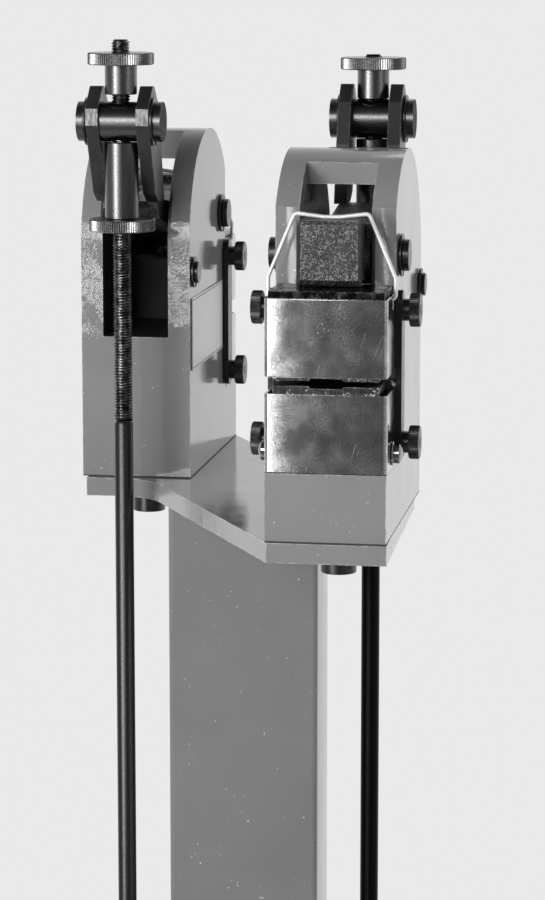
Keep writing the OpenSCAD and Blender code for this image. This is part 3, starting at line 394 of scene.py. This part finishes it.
# milled steel under old oil: nearly black, with brighter smears and specks
def oiledSteel():
    values = {"dark": "#141414", "bright": "#404040", "worn": "#b8b8b8", "smear": (190, 0.45, 0.72, 7),
              "speck": (1200, 0.64, 0.68), "speckPatch": (160, 0.52, 0.62), "rubbed": (0.0006, 700, 0.8),
              "roughLow": 0.2, "roughHigh": 0.42, "fineCycles": 900, "fineDepth": 0.00004, "fineStrength": 0.6}
    material, tree, where = startMaterial("oiled_steel")
    smear = grain(tree, where, *values["smear"])
    colour = addNode(tree, "Mix", {"data_type": "RGBA", 6: linear(values["dark"]), 7: linear(values["bright"])},
                     {0: smear}, 2)
    speck = addNode(tree, "Math", {"operation": "MULTIPLY"},
                    {0: grain(tree, where, *values["speck"]), 1: grain(tree, where, *values["speckPatch"])})
    worn = addNode(tree, "Math", {"operation": "MAXIMUM"},
                   {0: speck, 1: rubbedEdge(tree, where, *values["rubbed"])})
    colour = addNode(tree, "Mix", {"data_type": "RGBA", 7: linear(values["worn"])}, {0: worn, 6: colour}, 2)
    rough = addNode(tree, "MapRange", {3: values["roughLow"], 4: values["roughHigh"]}, {0: smear})
    fine = addNode(tree, "Bump", {"Distance": values["fineDepth"], "Strength": values["fineStrength"]},
                   {"Height": grain(tree, where, values["fineCycles"], detail=3)})
    endMaterial(tree, {"Metallic": 0.9}, {"Base Color": colour, "Roughness": rough, "Normal": fine})
    return material


# anodised aluminium plate left bare: fine brushing along its length
def bareAluminium():
    values = {"pale": "#bcbcbc", "dull": "#aaaaaa", "brush": ((60, 60, 3000), 0.3, 0.7), "brushDepth": 0.00001,
              "brushStrength": 0.5}
    material, tree, where = startMaterial("bare_aluminium")
    brush = grain(tree, where, *values["brush"])
    colour = addNode(tree, "Mix", {"data_type": "RGBA", 6: linear(values["pale"]), 7: linear(values["dull"])},
                     {0: brush}, 2)
    fine = addNode(tree, "Bump", {"Distance": values["brushDepth"], "Strength": values["brushStrength"]},
                   {"Height": brush})
    endMaterial(tree, {"Metallic": 0.6, "Roughness": 0.36}, {"Base Color": colour, "Normal": fine})
    return material


# silk screened ink round the plate's field: dark, matt, thin enough to show the brushing
def screenedBorder():
    values = {"dark": "#343434", "pale": "#484848", "brush": ((60, 60, 3000), 0.3, 0.7), "brushDepth": 0.00001,
              "brushStrength": 0.5}
    material, tree, where = startMaterial("screened_border")
    brush = grain(tree, where, *values["brush"])
    colour = addNode(tree, "Mix", {"data_type": "RGBA", 6: linear(values["dark"]), 7: linear(values["pale"])},
                     {0: brush}, 2)
    fine = addNode(tree, "Bump", {"Distance": values["brushDepth"], "Strength": values["brushStrength"]},
                   {"Height": brush})
    endMaterial(tree, {"Roughness": 0.5, "IOR": 1.5}, {"Base Color": colour, "Normal": fine})
    return material


# moulded tread rubber: matt black, scuffed grey on its ribs
def treadRubber():
    values = {"dark": "#1c1c1c", "pale": "#3c3c3c", "rub": "#5a5a5a", "scuff": (90, 0.48, 0.7, 6),
              "rubbed": (0.001, 150, 0.8), "fineCycles": 1500, "fineDepth": 0.0001, "fineStrength": 0.6}
    material, tree, where = startMaterial("tread_rubber")
    colour = addNode(tree, "Mix", {"data_type": "RGBA", 6: linear(values["dark"]), 7: linear(values["pale"])},
                     {0: grain(tree, where, *values["scuff"])}, 2)
    colour = addNode(tree, "Mix", {"data_type": "RGBA", 7: linear(values["rub"])},
                     {0: rubbedEdge(tree, where, *values["rubbed"]), 6: colour}, 2)
    fine = addNode(tree, "Bump", {"Distance": values["fineDepth"], "Strength": values["fineStrength"]},
                   {"Height": grain(tree, where, values["fineCycles"], detail=3)})
    endMaterial(tree, {"Roughness": 0.62, "IOR": 1.5}, {"Base Color": colour, "Normal": fine})
    return material


finishes = {
    "enamel": machineEnamel("machine_enamel"),
    # the post's enamel is mixed darker than the rest
    "enamelTube": machineEnamel("machine_enamel_on_tube", paint="#7e7e7e", shade="#777777"),
    "enamelCast": machineEnamel("machine_enamel_on_casting", onCasting=True),
    "enamelCut": machineEnamel("machine_enamel_on_cut_plate", onCutPlate=True),
    "stainless": scratchedStainless(),
    "zinc": brightZinc(),
    "nickel": nickelPlate(),
    "cast": sandCastBlack(),
    "oxide": oxidePlate(),
    "milledSheen": milledPlatePaintedSheen(),
    "jaw": groundToolSteel(),
    "oiled": oiledSteel(),
    "aluminium": bareAluminium(),
    "border": screenedBorder(),
    "rubber": treadRubber(),
    "black": blackOxide("black_oxide", 0.28, 0.4, 1.6),
    "endsShade": blackOxide("black_oxide_painted_shade_on_ends", 0.6, 0.75, 1.3),
    "pin": turnedSteel("blued_pin", "x", "#585858", "#6a6a6a", 0.27, 0.31),
    "sleeve": turnedSteel("blued_sleeve", "z", "#585858", "#6e6e6e", 0.27, 0.32),
    "knurl": turnedSteel("rubbed_knurl", "z", "#606060", "#8c8c8c", 0.26, 0.34, 0.0),
    "rod": turnedSteel("drawn_rod", "z", "#363636", "#444444", 0.3, 0.38, 0.0),
    # the stretcher's rod is drawn darker than the shrinker's
    "rodDarker": turnedSteel("darker_drawn_rod", "z", "#121212", "#1a1a1a", 0.4, 0.5, 0.0),
}
print("materials ready,", len(finishes))


def makePiece(bm, name, finish, node, smoothAngle=20, rides=True):
    bmesh.ops.recalc_face_normals(bm, faces=bm.faces)
    mesh = bpy.data.meshes.new(name)
    bm.to_mesh(mesh)
    bm.free()
    mesh.materials.append(finishes[finish])
    mesh.shade_smooth()
    mesh.set_sharp_from_angle(angle=math.radians(smoothAngle))
    piece = bpy.data.objects.new(name, mesh)
    bpy.context.scene.collection.objects.link(piece)
    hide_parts(node)
    if rides:
        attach(piece, bodyOf[node])
    return piece


# a merged copy of a CAD node with its flat faces joined up again
def nodeCopy(node):
    mergeWithin, flatWithin = 0.00001, 0.6  # metres and degrees
    bm = bmesh.new()
    bm.from_mesh(frame["nodes"][node].data)
    bmesh.ops.remove_doubles(bm, verts=bm.verts, dist=mergeWithin)
    bmesh.ops.dissolve_limit(bm, angle_limit=math.radians(flatWithin), verts=bm.verts, edges=bm.edges)
    return bm


def roundEdges(piece, width, segments=2, angle=20):
    bevel = piece.modifiers.new("edges", "BEVEL")
    bevel.width = width
    bevel.segments = segments
    bevel.limit_method = "ANGLE"
    bevel.angle_limit = math.radians(angle)
    bevel.harden_normals = True
    bevel.miter_outer = "MITER_ARC"


# pieces that keep the CAD shape: edge radius in millimetres and finish
dressed = {
    "base_plate": (1.5, "enamelCut"), "post": (0.6, "enamelTube"), "base_gussets": (1.0, "enamelCut"),
    "top_plate": (1.0, "enamelCut"), "pedal_brackets": (1.2, "enamelCut"), "pedal_shafts": (0.6, "pin"),
    "spring_anchors": (0.8, "enamel"), "head_bolts": (0.5, "black"), "keeper_straps": (0.4, "black"),
    "pivot_pins": (0.5, "black"), "stub_pins": (0.5, "black"), "pin_clips": (0.15, "black"),
}
dressedHead = {
    "body": (1.5, "enamelCast"), "block": (0.5, "oiled"), "cover_lower": (0.8, "stainless"),
    "cover_upper": (0.8, "stainless"), "jaw_low_a": (0.12, "jaw"), "jaw_low_b": (0.12, "jaw"),
    "jaw_up_a": (0.12, "jaw"), "jaw_up_b": (0.12, "jaw"), "carrier": (0.5, "oiled"),
    "lever_plates": (0.6, "oxide"), "nose": (1.2, "cast"), "trunnion": (0.6, "pin"),
    "trunnion_clips": (0.15, "black"), "clevis": (0.8, "oxide"), "clevis_pin": (0.4, "zinc"),
    "pedal": (1.0, "enamel"), "pad": (0.8, "rubber"),
}
for head in heads:
    for part, look in dressedHead.items():
        dressed[head + "_" + part] = look
for node, (edge, finish) in dressed.items():
    roundEdges(makePiece(nodeCopy(node), node + "_finished", finish, node), edge / 1000)
# the lever plates' rear faces are milled, made lighter as a painted reflection; the trunnion's ends get a painted
# shade
for head in heads:
    plates = bpy.data.objects[head + "_lever_plates_finished"].data
    plates.materials.append(finishes["milledSheen"])
    rearward = headPlace(head).to_3x3() @ Vector((0, 1, 0))
    for face in plates.polygons:
        if face.normal.dot(rearward) > 0.99:
            face.material_index = 1
    # painted shade: the trunnion's ends get a dark dull black oxide in place of the blued steel
    pin = bpy.data.objects[head + "_trunnion_finished"].data
    pin.materials.append(finishes["endsShade"])
    for face in pin.polygons:
        if abs(face.normal.x) > 0.9:
            face.material_index = 1
print("dressed pieces:", len(dressed))


# round stock with a straight knurl, turned about z at the origin
def ringOfKnurl(bm, diameter, grooves, depth, z):
    made = bmesh.ops.create_circle(bm, segments=grooves * 2, radius=diameter / 2)
    for i, vert in enumerate(made["verts"]):
        if i % 2:
            vert.co *= 1 - 2 * depth / diameter
        vert.co.z = z
    return [e for e in bm.edges if all(v in made["verts"] for v in e.verts)]


def knurledDisc(bm, diameter, thick, pitch, depth, chamfer, bore):
    grooves = int(math.pi * diameter / pitch)
    faceShare = 0.15  # how much of the groove's depth is left on the chamfered faces
    rings = [(diameter - 2 * chamfer, 0.0), (diameter, chamfer), (diameter, thick - chamfer),
             (diameter - 2 * chamfer, thick)]
    edges = [ringOfKnurl(bm, d, grooves, depth * (1 if 0 < z < thick else faceShare), z) for d, z in rings]
    for low, high in zip(edges, edges[1:]):
        bmesh.ops.bridge_loops(bm, edges=low + high)
    for ring, z in ((edges[0], 0.0), (edges[-1], thick)):
        inner = bmesh.ops.create_circle(bm, segments=grooves * 2, radius=bore / 2,
                                        matrix=Matrix.Translation((0, 0, z)))["verts"]
        innerEdges = [e for e in bm.edges if all(v in inner for v in e.verts)]
        bmesh.ops.bridge_loops(bm, edges=ring + innerEdges)


# a tube turned by a full spin of its side outline
def turnedPart(bm, outline, steps=64):
    verts = [bm.verts.new((r, 0, z)) for r, z in outline]
    edges = [bm.edges.new(pair) for pair in zip(verts, verts[1:] + verts[:1])]
    bmesh.ops.spin(bm, geom=verts + edges, cent=(0, 0, 0), axis=(0, 0, 1), angle=math.tau, steps=steps,
                   use_merge=True)


# the knurl's real pitch is about 1.08 mm, drawn a little coarser so that it shows
nutValues = {"disc": 0.035, "discThick": 0.0063, "pitch": 0.00125, "depth": 0.0005, "chamfer": 0.0005,
             "bore": 0.0102, "sleeveUpper": 0.017, "sleeveLower": 0.018, "edge": 0.0005, "rimFrom": 0.0144}
v = nutValues
for head in heads:
    for node, sleeve in (("nut_upper", v["sleeveUpper"]), ("nut_lower", v["sleeveLower"])):
        low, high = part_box(head + "_" + node)
        tall, thick, edge = high[2] - low[2], v["discThick"], v["edge"]
        upper = node == "nut_upper"
        bm = bmesh.new()
        knurledDisc(bm, v["disc"], thick, v["pitch"], v["depth"], v["chamfer"], v["bore"])
        bmesh.ops.translate(bm, verts=bm.verts, vec=(0, 0, tall - thick if upper else 0))
        bm.normal_update()
        rim = [f for f in bm.faces
               if abs(f.normal.z) < 0.5 and f.calc_center_median().xy.length > v["rimFrom"]]
        for face in rim:
            face.material_index = 1
        b, r = v["bore"] / 2, sleeve / 2
        foot, crown = (0.0, tall - thick) if upper else (thick, tall)
        turnedPart(bm, [(b, foot), (r - edge, foot), (r, foot + edge), (r, crown - edge), (r - edge, crown),
                        (b, crown)])
        middle = (Vector(low) + Vector(high)) / 2
        bmesh.ops.translate(bm, verts=bm.verts, vec=(middle.x, middle.y, low[2]))
        nut = makePiece(bm, head + "_" + node + "_knurled", "sleeve", head + "_" + node, 24)
        nut.data.materials.append(finishes["knurl"])
print("knurled nuts made")


# a part made about z goes to both sides of both heads, pointing outward
def putOnSides(bm, part, depth, height):
    spare = bpy.data.meshes.new("spare")
    part.to_mesh(spare)
    part.free()
    for head in heads:
        for side in (1, -1):
            before = set(bm.verts)
            bm.from_mesh(spare)
            added = [q for q in bm.verts if q not in before]
            place = (headPlace(head) @ Matrix.Translation((0, depth, height))
                     @ Matrix.Rotation(side * math.pi / 2, 4, "Y"))
            bmesh.ops.transform(bm, matrix=place, verts=added)
    bpy.data.meshes.remove(spare)


# pole is the small radius left open on the axis, seat the distance from a head's middle
knobValues = {
    "seat": 0.03345, "neck": 0.0034, "neckDiameter": 0.011, "diameter": 0.0167, "thick": 0.0053,
    "pitch": 0.0008, "depth": 0.00022, "chamfer": 0.0005, "stem": 0.006, "stemFrom": 0.020, "pole": 0.0001,
    "plug": 0.0031, "plugEdge": 0.0024, "plugRise": 0.00035, "plugTop": 0.0004, "steps": 32,
    "depthV": 0.0395, "heights": (0.0451, 0.1112),
}
v = knobValues
bm = bmesh.new()
for height in v["heights"]:
    knob = bmesh.new()
    knurledDisc(knob, v["diameter"], v["thick"], v["pitch"], v["depth"], v["chamfer"], 2 * v["plug"])
    near = v["seat"] + v["neck"]
    far = near + v["thick"]
    bmesh.ops.translate(knob, verts=knob.verts, vec=(0, 0, near))
    turnedPart(knob, [(v["pole"], v["stemFrom"]), (v["stem"] / 2, v["stemFrom"]), (v["stem"] / 2, v["seat"]),
                      (v["neckDiameter"] / 2, v["seat"]), (v["neckDiameter"] / 2, near), (v["plug"], near),
                      (v["plug"], far), (v["plugEdge"], far + v["plugRise"]),
                      (v["pole"], far + v["plugTop"])], v["steps"])
    putOnSides(bm, knob, v["depthV"], height)
makePiece(bm, "thumb_screws_knurled", "black", "thumb_screws", 24)

screwValues = {
    "seat": 0.0303, "washer": 0.006, "washerThick": 0.0011, "head": 0.0049, "ball": 0.0072, "sunk": 0.0024,
    "shank": 0.002, "shankFrom": 0.0215, "socket": 0.0014, "socketDeep": 0.003, "edge": 0.0003, "pole": 0.0001,
    "domeSteps": 8, "steps": 40, "depth": 0.020, "height": 0.0424,
}
v = screwValues
bm, screw = bmesh.new(), bmesh.new()
top, edge = v["seat"] + v["washerThick"], v["edge"]
outline = [(v["pole"], v["shankFrom"]), (v["shank"], v["shankFrom"]), (v["shank"], v["seat"]),
           (v["washer"] - edge, v["seat"]), (v["washer"], v["seat"] + edge), (v["washer"], top - edge),
           (v["washer"] - edge, top), (v["head"], top)]
wide, narrow = math.asin(v["head"] / v["ball"]), math.asin(v["socket"] / v["ball"])
for step in range(v["domeSteps"] + 1):
    lean = wide + (narrow - wide) * step / v["domeSteps"]
    outline.append((v["ball"] * math.sin(lean), top - v["sunk"] + v["ball"] * math.cos(lean)))
outline += [(v["socket"], top + v["socketDeep"]), (v["pole"], top + v["socketDeep"])]
turnedPart(screw, outline, v["steps"])
putOnSides(bm, screw, v["depth"], v["height"])
makePiece(bm, "cover_screws_domed", "nickel", "cover_screws", 30)
print("thumb screws and cover screws made")


# pull rods: a rolled thread down to threadEnd, smooth drawn bar below; the profile runs up one pitch
rodValues = {
    "crest": 0.00497, "root": 0.0041, "pitch": 0.0015, "threadEnd": 0.8584, "smooth": 0.005, "steps": 24,
    "profile": (("root", 0), ("crest", 0.42), ("crest", 0.52), ("root", 0.94), ("root", 1.0)),
    "core": 0.0042, "topGap": 0.0006, "tip": 0.001, "chamfer": 0.0005, "pole": 0.0005,
    "runOutLow": 0.0012, "runOutHigh": 0.0004, "coreSteps": 32, "barSteps": 48,
    "shrink": "rod", "stretch": "rodDarker",
}
v = rodValues
for head in heads:
    low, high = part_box(head + "_rod")
    top, bottom = high[2], low[2]
    bm = bmesh.new()
    turns = round((top - v["topGap"] - v["threadEnd"]) / v["pitch"])
    start = top - v["topGap"] - (turns + 1) * v["pitch"]
    verts = [bm.verts.new((v[place], 0, start + f * v["pitch"])) for place, f in v["profile"]]
    edges = [bm.edges.new(pair) for pair in zip(verts, verts[1:])]
    bmesh.ops.spin(bm, geom=verts + edges, cent=(0, 0, 0), axis=(0, 0, 1), angle=math.tau,
                   dvec=(0, 0, v["pitch"] / v["steps"]), steps=v["steps"])
    oneTurn = list(bm.verts) + list(bm.edges) + list(bm.faces)
    for turn in range(1, turns):
        made = bmesh.ops.duplicate(bm, geom=oneTurn)["geom"]
        copied = [g for g in made if isinstance(g, bmesh.types.BMVert)]
        bmesh.ops.translate(bm, verts=copied, vec=(0, 0, turn * v["pitch"]))
    bmesh.ops.remove_doubles(bm, verts=bm.verts, dist=0.00001)
    turnedPart(bm, [(v["pole"], v["threadEnd"]), (v["core"], v["threadEnd"]), (v["core"], top - v["tip"]),
                    (v["root"] - v["chamfer"], top), (v["pole"], top)], v["coreSteps"])
    turnedPart(bm, [(v["pole"], bottom), (v["smooth"] - v["chamfer"], bottom), (v["smooth"], bottom + v["chamfer"]),
                    (v["smooth"], start - v["runOutLow"]), (v["root"], start + v["runOutHigh"]),
                    (v["pole"], start + v["runOutHigh"])], v["barSteps"])
    middle = (Vector(low) + Vector(high)) / 2
    bmesh.ops.translate(bm, verts=bm.verts, vec=(middle.x, middle.y, 0))
    makePiece(bm, head + "_rod_threaded", v[head], head + "_rod", 40)
print("threaded rods made")


# bent wire: a ring pulled along straight runs and spun round each bend
def bendWire(bm, start, heading, upward, diameter, moves, sides=12):
    heading, upward = Vector(heading).normalized(), Vector(upward).normalized()
    side = upward.cross(heading)
    basis = Matrix((side, upward, heading)).transposed().to_4x4()
    ring = bmesh.ops.create_circle(bm, cap_ends=True, segments=sides, radius=diameter / 2,
                                   matrix=Matrix.Translation(start) @ basis)["verts"]
    ringEdges = [e for e in bm.edges if all(v in ring for v in e.verts)]
    spot = Vector(start)
    for kind, amount, *rest in moves:
        if kind == "run":
            made = bmesh.ops.extrude_edge_only(bm, edges=ringEdges)["geom"]
            ringVerts = [g for g in made if isinstance(g, bmesh.types.BMVert)]
            bmesh.ops.translate(bm, verts=ringVerts, vec=heading * amount)
            ringEdges = [g for g in made
                         if isinstance(g, bmesh.types.BMEdge) and all(v in ringVerts for v in g.verts)]
            spot = spot + heading * amount
        else:
            radius, axis, steps = rest[0], Vector(rest[1]), rest[2]
            centre = spot + axis.cross(heading) * radius
            ringVerts = list({v for e in ringEdges for v in e.verts})
            made = bmesh.ops.spin(bm, geom=ringVerts + ringEdges, cent=centre, axis=axis,
                                  angle=amount, steps=steps)["geom_last"]
            ringEdges = [g for g in made if isinstance(g, bmesh.types.BMEdge)]
            turn = Matrix.Rotation(amount, 3, axis)
            spot = centre + turn @ (spot - centre)
            heading = turn @ heading
    bmesh.ops.contextual_create(bm, geom=ringEdges)
    bmesh.ops.remove_doubles(bm, verts=bm.verts, dist=0.000005)


# bail: corners in millimetres (x, z), rounded at each one
bailValues = {"wire": 2.0, "bend": 2.2, "bendSteps": 7, "depth": 22.0,
              "half": [(4, 158.1), (18.2, 159.9), (31.5, 128.5), (31.5, 118.4), (22.5, 118.4)]}
v = bailValues
corners = [Vector((-x, 0, z)) for x, z in reversed(v["half"])] + [Vector((x, 0, z)) for x, z in v["half"]]
moves, lastCut = [], 0
for i in range(1, len(corners) - 1):
    before, after = (corners[i] - corners[i - 1]), (corners[i + 1] - corners[i])
    angle = before.angle(after)
    axis = before.cross(after).normalized()
    cut = v["bend"] * math.tan(angle / 2)
    moves.append(("run", (before.length - cut - lastCut) / 1000))
    moves.append(("bend", angle, v["bend"] / 1000, axis, v["bendSteps"]))
    lastCut = cut
moves.append(("run", (after.length - lastCut) / 1000))
for head in heads:
    bm = bmesh.new()
    bendWire(bm, corners[0] / 1000, corners[1] - corners[0], (0, 1, 0), v["wire"] / 1000, moves)
    bmesh.ops.transform(bm, matrix=headPlace(head) @ Matrix.Translation((0, v["depth"] / 1000, 0)),
                        verts=bm.verts)
    makePiece(bm, head + "_bail_bent", "zinc", head + "_bail", 60)
print("bails bent")


# return springs: half-turn hooks at both ends of an evenly wound coil
springValues = {"radius": 0.0071, "wire": 0.0018, "turns": 24, "low": 0.0401, "high": 0.1219, "lead": 0.008,
                "coilSteps": 16, "hookSteps": 16, "sides": 10, "depth": 0.2078}
v = springValues
for head in heads:
    bm = bmesh.new()
    coilLow, coilHigh = v["low"] + v["lead"], v["high"] - v["lead"]
    rise = (coilHigh - coilLow) / v["turns"]
    basis = Matrix.Rotation(math.pi / 2, 4, "X")
    ring = bmesh.ops.create_circle(bm, segments=v["sides"], radius=v["wire"] / 2,
                                   matrix=Matrix.Translation((v["radius"], 0, coilLow)) @ basis)["verts"]
    ringEdges = [e for e in bm.edges if all(q in ring for q in e.verts)]
    bmesh.ops.spin(bm, geom=ring + ringEdges, cent=(0, 0, 0), axis=(0, 0, 1), angle=math.tau * v["turns"],
                   dvec=(0, 0, rise / v["coilSteps"]), steps=v["coilSteps"] * v["turns"])
    for coilZ, sign in ((coilLow, -1), (coilHigh, 1)):
        bendWire(bm, (v["radius"], 0, coilZ), (0, 0, sign), (0, 1, 0), v["wire"],
                 [("run", v["lead"]), ("bend", math.pi, v["radius"], (0, -sign, 0), v["hookSteps"])], v["sides"])
    bmesh.ops.transform(bm, matrix=headPlace(head) @ Matrix.Translation((0, v["depth"], -tableTop)),
                        verts=bm.verts)
    spring = makePiece(bm, head + "_spring_wound", "zinc", head + "_spring", 60, rides=False)
    foot = headPlace(head) @ Vector((0, v["depth"], v["low"] - tableTop))
    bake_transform(spring)
print("springs wound")


# name plates left bare: a thin dark border round a brushed field
plateValues = {"low": (-0.0308, 0.050, 0.059), "high": (-0.030, 0.146, 0.0985), "margin": 0.0012,
               "border": 0.0008, "edge": 0.0002}
v = plateValues
bm = bmesh.new()
for head in heads:
    low, high = Vector(v["low"]), Vector(v["high"])
    size = high - low
    cube = bmesh.ops.create_cube(bm, size=1, matrix=headPlace(head) @ Matrix.Translation((low + high) / 2)
                                 @ Matrix.Diagonal((*size, 1)))["verts"]
    outward = headPlace(head).to_3x3() @ Vector((-1, 0, 0))
    bm.normal_update()
    face = [f for f in bm.faces if all(q in cube for q in f.verts) and f.normal.dot(outward) > 0.9]
    bmesh.ops.inset_region(bm, faces=face, thickness=v["margin"])
    ringFaces = bmesh.ops.inset_region(bm, faces=face, thickness=v["border"])["faces"]
    for f in ringFaces:
        f.material_index = 1
plates = makePiece(bm, "name_plates_bare", "aluminium", "name_plates")
plates.data.materials.append(finishes["border"])
roundEdges(plates, v["edge"])
print("name plates made")


stageValues = {
    "floorRadius": 1.5, "floorSides": 96, "floor": "#e4e4e4", "floorRough": 0.8, "floorGlow": 0.6,
    "fadeFrom": 0.5, "fadeTo": 1.4, "backdrop": 0.82,
    # the light that comes from the room: in front, behind, from the sides and how much is left above
    "worldFront": 0.16, "worldBack": 1.0, "worldSide": 0.3, "worldTop": 0.45,
    "backFrom": 0.0, "backTo": 0.7, "sideFrom": 0.35, "sideTo": 0.95, "topFrom": 0.15, "topTo": 0.8,
}
v = stageValues
bm = bmesh.new()
bmesh.ops.create_circle(bm, cap_ends=True, segments=v["floorSides"], radius=v["floorRadius"])
floorMesh = bpy.data.meshes.new("floor")
bm.to_mesh(floorMesh)
bm.free()
floor = bpy.data.objects.new("floor", floorMesh)
bpy.context.scene.collection.objects.link(floor)
material, tree, where = startMaterial("studio_floor")
distance = addNode(tree, "VectorMath", {"operation": "LENGTH"}, {0: where}, "Value")
fade = addNode(tree, "MapRange", {1: v["fadeFrom"], 2: v["fadeTo"]}, {0: distance})
ground = addNode(tree, "BsdfPrincipled", {"Base Color": linear(v["floor"]), "Roughness": v["floorRough"]})
pale = addNode(tree, "Emission", {"Color": (1, 1, 1, 1), "Strength": v["backdrop"]})
seen = addNode(tree, "LightPath", out="Is Camera Ray")
share = addNode(tree, "Math", {"operation": "MULTIPLY", 1: v["floorGlow"]}, {0: seen})
ground = addNode(tree, "MixShader", None, {0: share, 1: ground, 2: pale})  # the floor looks pale, its light stays
both = addNode(tree, "MixShader", None, {0: fade, 1: ground, 2: addNode(tree, "BsdfTransparent")})
addNode(tree, "OutputMaterial", None, {"Surface": both})
floorMesh.materials.append(material)

world = bpy.data.worlds.new("studio")
bpy.context.scene.world = world
world.use_nodes = True
tree = world.node_tree
tree.nodes.clear()
direction = addNode(tree, "TexCoord", out="Generated")
parts = addNode(tree, "SeparateXYZ", None, {0: direction}).node.outputs
backward = addNode(tree, "MapRange", {1: v["backFrom"], 2: v["backTo"], 3: v["worldFront"], 4: v["worldBack"]},
                   {0: parts["Y"]})
across = addNode(tree, "Math", {"operation": "ABSOLUTE"}, {0: parts["X"]})
sideways = addNode(tree, "MapRange", {1: v["sideFrom"], 2: v["sideTo"], 3: 0, 4: v["worldSide"]}, {0: across})
level = addNode(tree, "Math", {"operation": "ADD"}, {0: backward, 1: sideways})
upward = addNode(tree, "MapRange", {1: v["topFrom"], 2: v["topTo"], 3: 1, 4: v["worldTop"]}, {0: parts["Z"]})
strength = addNode(tree, "Math", {"operation": "MULTIPLY"}, {0: level, 1: upward})
plain = addNode(tree, "Background", {"Color": (1, 1, 1, 1), "Strength": v["backdrop"]})
lighting = addNode(tree, "Background", {"Color": (1, 1, 1, 1)}, {"Strength": strength})
seen = addNode(tree, "LightPath", out="Is Camera Ray")
addNode(tree, "OutputWorld", None, {"Surface": addNode(tree, "MixShader", None, {0: seen, 1: lighting, 2: plain})})

lampValues = {
    "key": {"at": (-1.13, -1.89, 1.08), "aim": (0, 0, 0.93), "size": (0.85, 1.25), "watts": 37},
    "front": {"at": (-0.37, -2.33, 1.50), "aim": (0, 0, 0.93), "size": (0.5, 0.75), "watts": 12},
    "fill": {"at": (2.2, -1.0, 1.2), "aim": (0, 0, 0.9), "size": (1.0, 1.0), "watts": 4},
    "rim": {"at": (0.6, 2.2, 2.2), "aim": (0, 0, 0.9), "size": (1.6, 1.6), "watts": 12},
}
for name, lamp in lampValues.items():
    light = bpy.data.lights.new(name, "AREA")
    light.shape = "RECTANGLE"
    light.size, light.size_y = lamp["size"]
    light.energy = lamp["watts"]
    holder = bpy.data.objects.new(name, light)
    holder.location = lamp["at"]
    holder.rotation_euler = (Vector(lamp["aim"]) - Vector(lamp["at"])).to_track_quat("-Z", "Y").to_euler()
    bpy.context.scene.collection.objects.link(holder)

cameraValues = {"at": (0.26585, -1.6136, 1.1137), "along": (-0.15263, 0.97424, -0.16603), "lens": 202.15,
                "sensor": 36}
v = cameraValues
lens = bpy.data.cameras.new("camera")
lens.sensor_fit = "HORIZONTAL"
lens.sensor_width = v["sensor"]
lens.lens = v["lens"]
camera = bpy.data.objects.new("camera", lens)
camera.location = v["at"]
camera.rotation_euler = Vector(v["along"]).to_track_quat("-Z", "Y").to_euler()
bpy.context.scene.collection.objects.link(camera)
bpy.context.scene.camera = camera
bpy.context.scene.view_settings.view_transform = "Standard"
print("stage, lamps and camera set")
